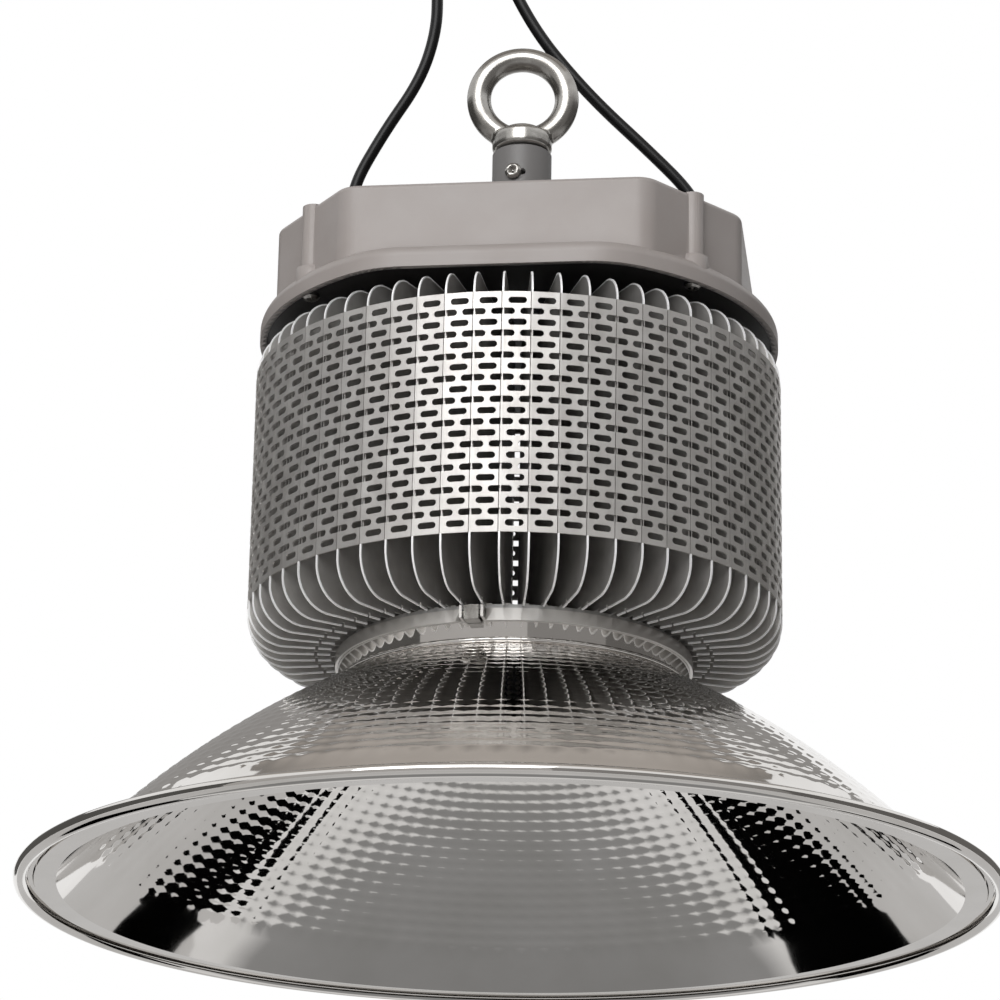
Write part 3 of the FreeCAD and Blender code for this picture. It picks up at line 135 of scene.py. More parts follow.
class Surface:
    """A new material with its principled shader and the noise patterns that mark it."""

    def __init__(self, name: str, *sizes: tuple[float, float]) -> None:
        """Start the material.

        Args:
            name: The material's name.
            *sizes: Size in millimetres and detail of each noise pattern.
        """
        self.material = bpy.data.materials.new(name)
        self.material.use_nodes = True
        self.tree = self.material.node_tree
        self.shader = self.tree.nodes["Principled BSDF"]
        self.place = add_node(self.tree, "ShaderNodeTexCoord", output="Object")
        self.patterns = [
            add_node(self.tree, "ShaderNodeTexNoise", {
                "Vector": self.place, "Scale": waves_per_metre(size), "Detail": detail})
            for size, detail in sizes]

    def set(self, **values: Any) -> None:
        """Set the shader's sockets.

        Args:
            **values: A value or an output socket for each, or None to leave it; an underscore
                in a socket's name stands for a blank.
        """
        for name, value in values.items():
            socket = self.shader.inputs[name.replace("_", " ")]
            if isinstance(value, Socket):
                self.tree.links.new(value, socket)
            elif value is not None:
                socket.default_value = value

    def lay(
        self,
        tone: str | tuple[Socket, str, str],
        gloss: float | tuple[Socket, float, float],
        relief: Sequence[tuple[Socket, float, float]] = (),
        over: Sequence[tuple[Socket, str]] = (),
        **values: Any,
    ) -> bpy.types.Material:
        """Let patterns drive the shader.

        Args:
            tone: A colour, or a pattern and the two colours that it blends.
            gloss: A roughness, or a pattern and the two roughnesses that it runs between.
            relief: Patterns with their depth in millimetres and their strength, lowest first.
            over: Masks and the colours that cover the tone where they are 1.
            **values: Other sockets of the shader, as for set().

        Returns:
            The material.
        """
        colour: Any = linear(tone) if isinstance(tone, str) else None
        if colour is None:
            pattern, first, second = tone
            share = add_node(self.tree, "ShaderNodeMapRange", {
                "Value": pattern, "From Min": NOISE_LOW, "From Max": NOISE_HIGH})
            colour = add_node(self.tree, "ShaderNodeMix", {
                "Factor": share, "A": linear(first), "B": linear(second)},
                MIXED_COLOUR, data_type="RGBA")
        for mask, cover in over:
            colour = add_node(self.tree, "ShaderNodeMix", {
                "Factor": mask, "A": colour, "B": linear(cover)}, MIXED_COLOUR, data_type="RGBA")
        roughness: Any = gloss
        if isinstance(gloss, tuple):
            pattern, low, high = gloss
            roughness = add_node(self.tree, "ShaderNodeMapRange", {
                "Value": pattern, "From Min": NOISE_LOW, "From Max": NOISE_HIGH,
                "To Min": low, "To Max": high})
        normal = None
        for height, depth_mm, strength in relief:
            normal = add_node(self.tree, "ShaderNodeBump", {
                "Height": height, "Distance": depth_mm * MM, "Strength": strength,
                "Normal": normal})
        self.set(Base_Color=colour, Roughness=roughness, Normal=normal, **values)
        return self.material


# Finishes -------------------------------------------------------------------------------------
class Slot(Enum):
    """Material slots of the part."""

    REFLECTOR = "polished_aluminium"
    BAND = "polished_band"
    PLATE = "plate_aluminium"
    FIN = "fin_aluminium"
    HOUSING = "grey_powder_coat"
    COVER = "black_coat"
    ZINC = "zinc_steel"
    DRIVER = "driver_case"
    TERMINAL = "terminal_plastic"
    NYLON = "black_plastic"
    RUBBER = "black_rubber"
    SHEATH = "cable_sheath"
    CORE = "core_insulation"
    TINNED = "tinned_copper"
    BOARD = "white_board"
    PHOSPHOR = "led_phosphor"
    GLASS = "lens_glass"
    SILICONE = "clear_silicone"


@dataclass(frozen=True)
class Finish:
    """A real material and how its surface was made."""

    name: str
    slot: Slot

    def make(self) -> bpy.types.Material:
        """Build the material."""
        raise NotImplementedError


@dataclass(frozen=True)
class SpunMirror(Finish):
    """Aluminium sheet, spun and buffed to a mirror: clear reflections, faint rings left by the
    spinning tool and a thin haze where it was wiped."""

    colour: str
    worn: str
    clear: float
    hazy: float
    ring_mm: float = 3.0
    ring_depth_mm: float = 0.0015
    haze_mm: float = 45.0
    scuff_mm: float = 2.5

    def make(self) -> bpy.types.Material:
        """Build the material."""
        face = Surface(self.name, (self.haze_mm, 5.0), (self.scuff_mm, 4.0))
        haze, scuff = face.patterns
        rings = add_node(face.tree, "ShaderNodeTexWave", {
            "Vector": face.place, "Scale": waves_per_metre(self.ring_mm) / TURN,
            "Distortion": 1.5, "Detail": 2.0, "Detail Scale": 1.0,
        }, "Fac", wave_type="RINGS", rings_direction="Z")
        return face.lay(
            (haze, self.colour, self.worn), (haze, self.clear, self.hazy),
            ((scuff, self.ring_depth_mm, 0.2), (rings, self.ring_depth_mm, 0.25)), Metallic=1.0)


@dataclass(frozen=True)
class RolledSheet(Finish):
    """Bare mill-finish aluminium sheet: a soft sheen drawn out along the rolling direction, which
    is upright here, fine rolling lines, a few duller patches and a painted white highlight along
    the cut edges of each web."""

    colour: str
    dull: str
    low: float
    high: float
    line_mm: float = 0.35
    line_long_mm: float = 22.0
    patch_mm: float = 14.0
    metal: float = 0.78
    # Painted white highlight along the fin webs' cut edges, less metallic there so the white shows.
    edge_highlight: str = "#FFFFFF"
    edge_highlight_metal: float = 0.2
    edge_mm: float = 0.7
    web_low_mm: float = 110.7
    web_top_mm: float = 252.7
    fold_mm: float = 119.0
    low_round_mm: float = 17.0
    top_round_mm: float = 13.0
    flange_low_mm: float = 131.2
    flange_top_mm: float = 239.2

    def edge_highlight_mask(self, face: Surface) -> Socket:
        """Mark the cut outline of a fin's web, where a white highlight is painted.

        Args:
            face: The surface that the fins get.

        Returns:
            A value of 1 within a line's width of the web's outline, and 0 elsewhere.
        """
        apart = add_node(face.tree, "ShaderNodeSeparateXYZ", {"Vector": face.place}).node.outputs
        level = add_node(face.tree, "ShaderNodeCombineXYZ", {"X": apart["X"], "Y": apart["Y"]})
        radius = add_node(face.tree, "ShaderNodeVectorMath", {0: level}, "Value",
                          operation="LENGTH")
        masks = []
        # Each row below is a name, its operation and two terms: earlier names or numbers.
        for end, corner, flange, side in (
            (self.web_low_mm, self.low_round_mm, self.flange_low_mm, 1.0),
            (self.web_top_mm, self.top_round_mm, self.flange_top_mm, -1.0),
        ):
            found: dict[Any, Any] = {"height": apart["Z"], "radius": radius}
            for name, operation, first, second in (
                ("past_end", "SUBTRACT", "height", end * MM),
                ("inward", "MULTIPLY", "past_end", side),
                ("straight", "LESS_THAN", "inward", self.edge_mm * MM),
                ("past_round", "SUBTRACT", "radius", (self.fold_mm - corner) * MM),
                ("run", "MAXIMUM", "past_round", 0.0),
                ("short", "SUBTRACT", corner * MM, "inward"),
                ("rise", "MAXIMUM", "short", 0.0),
                ("run_squared", "MULTIPLY", "run", "run"),
                ("rise_squared", "MULTIPLY", "rise", "rise"),
                ("sum", "ADD", "run_squared", "rise_squared"),
                ("reach", "SQRT", "sum", 0.0),
                ("outer", "GREATER_THAN", "reach", (corner - self.edge_mm) * MM),
                ("past_flange", "SUBTRACT", "height", flange * MM),
                ("beside", "MULTIPLY", "past_flange", side),
                ("clear", "LESS_THAN", "beside", 0.0),
                ("round", "MULTIPLY", "outer", "clear"),
            ):
                found[name] = add_node(face.tree, "ShaderNodeMath", {
                    0: found.get(first, first), 1: found.get(second, second)},
                    operation=operation)
            masks += [found["straight"], found["round"]]
        edge = masks[0]
        for mask in masks[1:]:
            edge = add_node(face.tree, "ShaderNodeMath", {0: edge, 1: mask}, operation="MAXIMUM")
        return edge

    def make(self) -> bpy.types.Material:
        """Build the material."""
        face = Surface(self.name, (self.patch_mm, 4.0))
        patches = face.patterns[0]
        across, along = waves_per_metre(self.line_mm), waves_per_metre(self.line_long_mm)
        drawn = add_node(face.tree, "ShaderNodeMapping", {
            "Vector": face.place, "Scale": (across, across, along)})
        lines = add_node(face.tree, "ShaderNodeTexNoise", {
            "Vector": drawn, "Scale": 1.0, "Detail": 2.0})
        # Painted highlight: the web's cut outline is painted white and made less metallic.
        edge = self.edge_highlight_mask(face)
        metal = add_node(face.tree, "ShaderNodeMapRange", {
            "Value": edge, "To Min": self.metal, "To Max": self.edge_highlight_metal})
        return face.lay(
            (patches, self.colour, self.dull), (lines, self.low, self.high),
            ((patches, 0.05, 0.08), (lines, 0.006, 0.35)), ((edge, self.edge_highlight),),
            Metallic=metal)


@dataclass(frozen=True)
class PlatedSteel(Finish):
    """Forged or headed steel under bright zinc: small lumps of the forging skin, a slightly
    uneven shine and darker passivation in patches."""

    colour: str
    dark: str
    low: float
    high: float
    lump_mm: float = 5.0
    lump_depth_mm: float = 0.12
    pit_mm: float = 0.8
    pit_depth_mm: float = 0.02
    lumps_per_patch: float = 2.2

    def make(self) -> bpy.types.Material:
        """Build the material."""
        face = Surface(self.name, (self.lump_mm, 2.0), (self.pit_mm, 3.0),
                       (self.lump_mm * self.lumps_per_patch, 5.0))
        lumps, pits, patches = face.patterns
        return face.lay(
            (patches, self.colour, self.dark), (patches, self.low, self.high),
            ((lumps, self.lump_depth_mm, 0.5), (pits, self.pit_depth_mm, 0.5)), Metallic=1.0)


@dataclass(frozen=True)
class TurnedMetal(Finish):
    """Machined aluminium: circular tool marks about the axis and an even satin shine."""

    colour: str
    low: float
    high: float
    mark_mm: float = 0.8
    mark_depth_mm: float = 0.01
    patch_mm: float = 9.0

    def make(self) -> bpy.types.Material:
        """Build the material."""
        face = Surface(self.name, (self.patch_mm, 4.0))
        marks = add_node(face.tree, "ShaderNodeTexWave", {
            "Vector": face.place, "Scale": waves_per_metre(self.mark_mm) / TURN,
            "Distortion": 0.6, "Detail": 1.0,
        }, "Fac", wave_type="RINGS", rings_direction="Z")
        return face.lay(self.colour, (face.patterns[0], self.low, self.high),
                        ((marks, self.mark_depth_mm, 0.4),), Metallic=1.0)


@dataclass(frozen=True)
class PowderCoat(Finish):
    """Powder baked on a casting: a fine orange peel, a soft gloss that lies unevenly, and a
    barely warmer tone where the film is thin. The peel is drawn a little coarser than the real
    one so that it shows. Above a height it can be a darker, neutral grey, as on the housing's
    stem: the neutral tone is the stem's own and the darkness is painted shade."""

    colour: str
    thin: str
    low: float
    high: float
    peel_mm: float = 0.9
    peel_depth_mm: float = 0.035
    wave_mm: float = 28.0
    speck_mm: float = 0.45
    stem_grey_and_shade: str = ""
    stem_grey_and_shade_above_mm: float = 0.0

    def make(self) -> bpy.types.Material:
        """Build the material."""
        face = Surface(self.name, (self.peel_mm, 2.0), (self.wave_mm, 4.0), (self.speck_mm, 1.0))
        peel, wave, specks = face.patterns
        over = []
        # Painted shade: above this height the coat turns a darker, neutral grey; the neutral tone
        # is the stem's own.
        if self.stem_grey_and_shade:
            height = add_node(face.tree, "ShaderNodeSeparateXYZ", {"Vector": face.place}, "Z")
            above = add_node(face.tree, "ShaderNodeMath", {
                0: height, 1: self.stem_grey_and_shade_above_mm * MM}, operation="GREATER_THAN")
            over.append((above, self.stem_grey_and_shade))
        return face.lay((wave, self.colour, self.thin), (specks, self.low, self.high),
                        ((wave, 0.25, 0.12), (peel, self.peel_depth_mm, 0.45)), over)


@dataclass(frozen=True)
class Moulded(Finish):
    """Moulded plastic or rubber: the spark-eroded texture of its mould, a little dust in patches
    and an even, shallow gloss."""

    colour: str
    dusty: str
    low: float
    high: float
    grain_mm: float = 0.6
    grain_depth_mm: float = 0.02
    dust_mm: float = 7.0

    def make(self) -> bpy.types.Material:
        """Build the material."""
        face = Surface(self.name, (self.grain_mm, 2.0), (self.dust_mm, 5.0))
        grain, dust = face.patterns
        return face.lay((dust, self.colour, self.dusty), (dust, self.low, self.high),
                        ((grain, self.grain_depth_mm, 0.4),))


@dataclass(frozen=True)
class CableSheath(Finish):
    """Extruded PVC or rubber sheath: semi-gloss, with faint lay marks of the twisted cores that
    run round it, drawn from the cord's own length and girth."""

    colour: str
    dusty: str
    rough: float
    pitch_per_length: float = 11.0
    cores: float = 3.0
    dust_mm: float = 3.0

    def make(self) -> bpy.types.Material:
        """Build the material."""
        face = Surface(self.name, (self.dust_mm, 4.0))
        dust = face.patterns[0]
        girth = add_node(face.tree, "ShaderNodeTexCoord", output="UV")
        lay = add_node(face.tree, "ShaderNodeMapping", {
            "Vector": girth, "Rotation": (0.0, 0.0, math.radians(45)),
            "Scale": (self.pitch_per_length, self.cores, 1.0)})
        twist = add_node(face.tree, "ShaderNodeTexWave", {
            "Vector": lay, "Scale": 0.5, "Distortion": 0.4}, "Fac", bands_direction="X")
        return face.lay((dust, self.colour, self.dusty), self.rough,
                        ((dust, 0.02, 0.2), (twist, 0.03, 0.08)), Specular_IOR_Level=0.25)


@dataclass(frozen=True)
class CoreInsulation(Finish):
    """Glossy extruded PVC over three conductors, each in its own colour. The cores stand apart
    round the lead, so their side of the lead's own middle tells them apart."""

    live: str
    neutral: str
    earth: str
    left_end_mm: Place
    right_end_mm: Place
    low: float = 0.28
    high: float = 0.4
    dust_mm: float = 1.5

    def make(self) -> bpy.types.Material:
        """Build the material."""
        face = Surface(self.name, (self.dust_mm, 3.0))
        dust = face.patterns[0]
        apart = add_node(face.tree, "ShaderNodeSeparateXYZ", {"Vector": face.place}).node.outputs
        between = (self.left_end_mm[0] + self.right_end_mm[0]) / 2 * MM
        at_right = add_node(face.tree, "ShaderNodeMath", {0: apart["X"], 1: between},
                            operation="GREATER_THAN")
        beyond = []
        for axis, side, left, right in zip(
                "XY", ("GREATER_THAN", "LESS_THAN"), self.left_end_mm, self.right_end_mm):
            middle = add_node(face.tree, "ShaderNodeMix", {
                "Factor": at_right, "A": left * MM, "B": right * MM}, data_type="FLOAT")
            beyond.append(add_node(face.tree, "ShaderNodeMath", {0: apart[axis], 1: middle},
                                   operation=side))
        to_right, in_front = beyond
        return face.lay(self.neutral, (dust, self.low, self.high), ((dust, 0.02, 0.2),),
                        ((in_front, self.earth), (to_right, self.live)))


@dataclass(frozen=True)
class ClearGlass(Finish):
    """Toughened flat glass: clear, with the slight waviness of the furnace rollers."""

    colour: str
    roller_mm: float = 30.0
    smear_mm: float = 12.0

    def make(self) -> bpy.types.Material:
        """Build the material."""
        face = Surface(self.name, (self.roller_mm, 1.0), (self.smear_mm, 5.0))
        wave, smear = face.patterns
        return face.lay(self.colour, (smear, 0.02, 0.07), ((wave, 0.02, 0.1),),
                        Transmission_Weight=1.0, IOR=1.5)


FINISHES: tuple[Finish, ...] = (
    SpunMirror("spun polished aluminium", Slot.REFLECTOR, "#DEDBD8", "#D2CFCB", 0.03, 0.07),
    SpunMirror("rolled stainless strip, polished", Slot.BAND, "#D8D6D3", "#C8C6C3", 0.26, 0.36,
               ring_mm=0.9),
    TurnedMetal("machined aluminium plate", Slot.PLATE, "#B9B9B8", 0.28, 0.42),
    RolledSheet("mill finish aluminium sheet", Slot.FIN, "#D3D1CE", "#BDBAB7", 0.33, 0.5),
    # Above 302 mm the housing coat turns a darker, neutral grey: the stem's own tone, darkened as
    # painted shade.
    PowderCoat("warm grey powder coat on die-cast aluminium", Slot.HOUSING, "#A39C99", "#9C9490",
               0.36, 0.5, stem_grey_and_shade="#777574", stem_grey_and_shade_above_mm=302.0),
    PowderCoat("black powder coat on steel", Slot.COVER, "#1B1A1A", "#211F1F", 0.4, 0.55),
    PlatedSteel("bright zinc plate on forged steel", Slot.ZINC, "#B9B7B3", "#8E8B87", 0.15, 0.32),
    TurnedMetal("anodised aluminium case", Slot.DRIVER, "#A6A8AB", 0.35, 0.5, mark_depth_mm=0.002),
    Moulded("cream polyamide, moulded", Slot.TERMINAL, "#D9D5C8", "#CEC9BA", 0.4, 0.55),
    Moulded("black nylon, moulded", Slot.NYLON, "#141414", "#1F1E1D", 0.38, 0.52),
    Moulded("black rubber, moulded", Slot.RUBBER, "#101010", "#1C1B1A", 0.55, 0.75),
    CableSheath("black extruded cable sheath", Slot.SHEATH, "#060607", "#0E0E0F", 0.32),
    CoreInsulation("coloured core insulation", Slot.CORE, "#5B3219", "#1F4E96", "#6F9B2E",
                   (-45.3, 35.9), (-16.4, 17.9)),
    PlatedSteel("tinned copper ferrules", Slot.TINNED, "#C6C3BB", "#AFACA4", 0.25, 0.38,
                lump_mm=1.2, lump_depth_mm=0.01),
    PowderCoat("white solder mask", Slot.BOARD, "#ECEBE6", "#E3E1DA", 0.3, 0.42, peel_mm=0.5,
               peel_depth_mm=0.01),
    Moulded("yellow phosphor over white ceramic", Slot.PHOSPHOR, "#E2C64C", "#D8B93A", 0.35, 0.5),
    ClearGlass("toughened glass", Slot.GLASS, "#F2F7F6"),
    Moulded("translucent silicone, moulded", Slot.SILICONE, "#BFC1C1", "#B4B6B6", 0.35, 0.5),
)


# Modelling helpers ----------------------------------------------------------------------------
def deselect_all() -> None:
    """Leave nothing selected, out of edit mode."""
    if bpy.context.object is not None and bpy.context.object.mode != "OBJECT":
        bpy.ops.object.mode_set(mode="OBJECT")
    bpy.ops.object.select_all(action="DESELECT")


def select_only(piece: bpy.types.Object) -> None:
    """Make one object the selected and active one."""
    deselect_all()
    piece.select_set(True)
    bpy.context.view_layer.objects.active = piece


def edit(piece: bpy.types.Object) -> None:
    """Go into edit mode on an object, with all of it selected."""
    select_only(piece)
    bpy.ops.object.mode_set(mode="EDIT")
    bpy.ops.mesh.select_all(action="SELECT")


def smooth(piece: bpy.types.Object, degrees: float) -> None:
    """Shade smooth where faces meet at less than an angle."""
    select_only(piece)
    bpy.ops.object.shade_smooth_by_angle(angle=math.radians(degrees))


def apply_modifier(piece: bpy.types.Object, kind: str, **settings: Any) -> None:
    """Add a modifier and apply it at once."""
    select_only(piece)
    modifier = piece.modifiers.new(kind.lower(), kind)
    for name, value in settings.items():
        setattr(modifier, name, value)
    bpy.ops.object.modifier_apply(modifier=modifier.name)


def settle(piece: bpy.types.Object) -> None:
    """Put an object's place into its mesh."""
    select_only(piece)
    bpy.ops.object.transform_apply(location=True, rotation=True, scale=True)


def named(name: str) -> bpy.types.Object:
    """Name the active object and its mesh."""
    piece = bpy.context.object
    piece.name = name
    piece.data.name = name
    return piece


def single_vertex(name: str, place: Point) -> bpy.types.Object:
    """Start a mesh at one vertex, left selected in edit mode.

    Args:
        name: The new object's name.
        place: Where the vertex goes, in metres.

    Returns:
        The object that holds it.
    """
    deselect_all()
    bpy.ops.mesh.primitive_plane_add(size=MM)
    piece = named(name)
    edit(piece)
    bpy.ops.mesh.merge(type="CENTER")
    bpy.ops.transform.translate(value=place)
    return piece


def drawn_line(name: str, points: Sequence[Place]) -> bpy.types.Object:
    """Draw a profile in the XZ plane, point after point, as an open line of edges.

    Args:
        name: The new object's name.
        points: Radius and height of each point, in millimetres.

    Returns:
        The object that holds the line.
    """
    piece = single_vertex(name, (points[0][0] * MM, 0.0, points[0][1] * MM))
    for (x, z), (next_x, next_z) in zip(points, points[1:]):
        step = ((next_x - x) * MM, 0.0, (next_z - z) * MM)
        bpy.ops.mesh.extrude_vertices_move(TRANSFORM_OT_translate={"value": step})
    bpy.ops.object.mode_set(mode="OBJECT")
    return piece


def on_circle(centre: Place, radius: float, degrees: float) -> Place:
    """Point of a profile's circle."""
    angle = math.radians(degrees)
    return (centre[0] + radius * math.cos(angle), centre[1] + radius * math.sin(angle))


def arc(centre: Place, radius: float, start: float, end: float, steps: int) -> list[Place]:
    """Points on an arc of a profile, both ends included, with angles in degrees."""
    return [on_circle(centre, radius, start + (end - start) * step / steps)
            for step in range(steps + 1)]


class Wardrobe:
    """Makes every finish once and dresses pieces in them."""

    def __init__(self, finishes: Iterable[Finish]) -> None:
        """Build the materials.

        Args:
            finishes: One finish for each slot.
        """
        self.materials = {finish.slot: finish.make() for finish in finishes}

    def dress(self, piece: bpy.types.Object, slot: Slot) -> None:
        """Give a piece one finish all over."""
        piece.data.materials.clear()
        piece.data.materials.append(self.materials[slot])

    def finish_piece(self, piece: bpy.types.Object, slot: Slot, node: str) -> bpy.types.Object:
        """Dress a new piece, fix it to the body and let it stand for a CAD node."""
        self.dress(piece, slot)
        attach(piece, "root")
        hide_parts(node)
        LOG.info("%s: %d faces", piece.name, len(getattr(piece.data, "polygons", ())))
        return piece


# Studio ---------------------------------------------------------------------------------------
@dataclass
class Studio:
    """Camera, lamps, floor and the cards that metal reflects."""

    lens_mm: float = 139.15
    sensor_mm: float = 36.0
    camera_place: Point = (0.0, -1.6443, -0.3845)
    yaw: float = -0.26
    pitch: float = 19.14
    roll: float = 1.0
    floor_height: float = -2.6
    floor_size: float = 30.0
    floor_in_metal: str = "#B8B6B4"
    floor_tones: tuple[str, str] = ("#F6F5F3", "#F1F0EE")
    floor_glow: float = 0.42
    fibre_mm: float = 6.0
    ambient: float = 0.3
    card_steps: int = 24

    def set_camera(self) -> None:
        """Aim the camera up at the hanging light from below and in front."""
        yaw, pitch, roll = (math.radians(angle) for angle in (self.yaw, self.pitch, self.roll))
        ahead = Vector((math.sin(yaw) * math.cos(pitch), math.cos(yaw) * math.cos(pitch),
                        math.sin(pitch)))
        level = Vector((math.cos(yaw), -math.sin(yaw), 0.0))
        upright = level.cross(ahead)
        right = math.cos(roll) * level + math.sin(roll) * upright
        up = -math.sin(roll) * level + math.cos(roll) * upright
        data = bpy.data.cameras.new("camera")
        data.lens, data.sensor_width = self.lens_mm, self.sensor_mm
        camera = bpy.data.objects.new("camera", data)
        bpy.context.scene.collection.objects.link(camera)
        turned = Matrix((right, up, -ahead)).transposed().to_4x4()
        camera.matrix_world = Matrix.Translation(self.camera_place) @ turned
        bpy.context.scene.camera = camera

    def set_world(self) -> None:
        """White all round for the camera, metal and glass, and a plain level for the rest."""
        world = bpy.data.worlds.new("studio")
        world.use_nodes = True
        bpy.context.scene.world = world
        tree = world.node_tree
        back = tree.nodes["Background"]
        path = add_node(tree, "ShaderNodeLightPath").node.outputs
        seen = add_node(tree, "ShaderNodeMath", {
            0: path["Is Camera Ray"], 1: path["Is Glossy Ray"]}, operation="MAXIMUM")
        shown = add_node(tree, "ShaderNodeMath", {
            0: seen, 1: path["Is Transmission Ray"]}, operation="MAXIMUM")
        level = add_node(tree, "ShaderNodeMapRange", {
            "Value": shown, "To Min": self.ambient, "To Max": 1.0})
        back.inputs["Color"].default_value = WHITE
        tree.links.new(level, back.inputs["Strength"])

    def set_floor(self) -> None:
        """Pale floor far below the light; it looks darker in metal than to the eye."""
        deselect_all()
        bpy.ops.mesh.primitive_plane_add(size=self.floor_size, location=(0, 0, self.floor_height))
        floor = named("studio_floor")
        face = Surface("pale studio floor", (self.fibre_mm, 3.0))
        path = add_node(face.tree, "ShaderNodeLightPath").node.outputs
        first, second = self.floor_tones
        pale = add_node(face.tree, "ShaderNodeMix", {
            "Factor": face.patterns[0], "A": linear(first), "B": linear(second)},
            MIXED_COLOUR, data_type="RGBA")
        tone = add_node(face.tree, "ShaderNodeMix", {
            "Factor": path["Is Camera Ray"], "A": linear(self.floor_in_metal), "B": pale},
            MIXED_COLOUR, data_type="RGBA")
        seen = add_node(face.tree, "ShaderNodeMath", {
            0: path["Is Camera Ray"], 1: path["Is Glossy Ray"]}, operation="MAXIMUM")
        glow = add_node(face.tree, "ShaderNodeMath", {0: seen, 1: self.floor_glow},
                        operation="MULTIPLY")
        face.set(Base_Color=tone, Roughness=0.9, Emission_Color=WHITE, Emission_Strength=glow)
        floor.data.materials.append(face.material)

    def add_card(self, name: str, radius: float, low: float, high: float, start: float, end: float,
                 colour: str) -> None:
        """Stand an upright curved card round the light, which only metal and glass can see.

        Args:
            name: The card's name.
            radius: Its distance from the axis in metres.
            low: Height of its lower edge.
            high: Height of its upper edge.
            start: Azimuth of one end, from the front towards +X, in degrees.
            end: Azimuth of its other end.
            colour: Its colour.
        """
        angle = math.radians(start)
        card = single_vertex(name, (radius * math.sin(angle), -radius * math.cos(angle), low))
        bpy.ops.mesh.extrude_vertices_move(TRANSFORM_OT_translate={"value": (0.0, 0.0, high - low)})
        bpy.ops.mesh.select_all(action="SELECT")
        bpy.ops.mesh.spin(steps=self.card_steps, angle=math.radians(start - end),
                          center=(0, 0, 0), axis=(0, 0, 1))
        bpy.ops.object.mode_set(mode="OBJECT")
        self.paint_card(card, linear(colour))

    def add_ramp(self, name: str, height: float, ends: Place, width: float,
                 tones: Sequence[tuple[float, str]]) -> None:
        """Lay a level card whose tone changes from the back to the front.

        Args:
            name: The card's name.
            height: Its height in metres.
            ends: Place of its back and front edges along Y.
            width: Its length along X.
            tones: Share of the way to the front and the colour there.
        """
        back, front = ends
        deselect_all()
        bpy.ops.mesh.primitive_plane_add(size=1.0, location=(0.0, (back + front) / 2, height))
        card = named(name)
        card.scale = (width, back - front, 1.0)
        settle(card)
        face = self.paint_card(card, BLACK)
        depth = add_node(face.tree, "ShaderNodeSeparateXYZ", {"Vector": face.place}, "Y")
        share = add_node(face.tree, "ShaderNodeMapRange", {
            "Value": depth, "From Min": back, "From Max": front})
        tone = add_node(face.tree, "ShaderNodeValToRGB", {"Fac": share}, "Color")
        stops = tone.node.color_ramp.elements
        stops[0].color, stops[1].color = linear(tones[0][1]), linear(tones[-1][1])
        for share_along, colour in tones[1:-1]:
            stops.new(share_along).color = linear(colour)
        face.set(Emission_Color=tone)

    def paint_card(self, card: bpy.types.Object, tone: Colour) -> Surface:
        """Make a card glow in one tone and hide it from all but metal and glass."""
        face = Surface(card.name)
        face.set(Base_Color=BLACK, Roughness=1.0, Specular_IOR_Level=0.0, Emission_Color=tone,
                 Emission_Strength=1.0)
        card.data.materials.append(face.material)
        card.visible_camera = card.visible_diffuse = card.visible_shadow = False
        return face

    def add_lamp(self, name: str, place: Point, aim: Point, size: float, power: float,
                 mirrored: bool) -> None:
        """Hang a square soft box.

        Args:
            name: The lamp's name.
            place: Where it hangs, in metres.
            aim: The point that it faces.
            size: Length of its side.
            power: Its power in watts.
            mirrored: Whether metal and glass show it.
        """
        data = bpy.data.lights.new(name, "AREA")
        data.size, data.energy = size, power
        lamp = bpy.data.objects.new(name, data)
        bpy.context.scene.collection.objects.link(lamp)
        lamp.location = place
        lamp.visible_glossy = mirrored
        lamp.rotation_mode = "QUATERNION"
        lamp.rotation_quaternion = (Vector(aim) - Vector(place)).to_track_quat("-Z", "Y")

    def build(self) -> None:
        """Set up everything round the light."""
        self.set_camera()
        self.set_world()
        self.set_floor()
        self.add_card("low_left_card", 1.45, -1.65, -0.74, -152.0, -112.0, "#020202")
        self.add_card("low_right_card", 1.45, -1.65, -0.74, 129.0, 147.0, "#020202")
        self.add_card("back_left_card", 1.7, 0.62, 2.6, 176.0, 212.0, "#9A9896")
        self.add_card("back_right_card", 1.7, 1.15, 2.6, 148.0, 176.0, "#9A9896")
        self.add_card("left_dark_card", 1.7, -0.2, 1.1, -150.0, -62.0, "#5A5957")
        self.add_card("front_card", 1.55, -0.2, 0.72, -62.0, 8.0, "#B8B6B4")
        self.add_card("right_grey_card", 1.7, -0.2, 1.1, 8.0, 60.0, "#8E8C8A")
        self.add_card("right_dark_card", 1.7, -0.2, 1.1, 60.0, 150.0, "#6A6866")
        self.add_ramp("overhead_card", 1.9, (1.1, -1.1), 2.2, (
            (0.0, "#8A8682"), (0.2, "#B0AAA4"), (0.4, "#BEB8B2"), (0.55, "#8A8682"),
            (0.66, "#B4AEA8"), (0.85, "#E8E4E0"), (1.0, "#F4F4F4")))
        self.add_ramp("table_ramp", -1.9, (1.7, -1.5), 3.4, (
            (0.0, "#F4F4F4"), (0.3, "#E4E4E4"), (0.38, "#969696"), (0.68, "#8C8C8C"),
            (0.84, "#A2A2A2"), (1.0, "#E8E8E8")))
        self.add_lamp("key", (-0.5, -1.9, 1.35), (0.0, 0.0, 0.2), 1.6, 32.0, True)
        self.add_lamp("low_fill", (-0.6, -1.7, -0.9), (0.0, 0.0, 0.2), 1.2, 10.0, False)


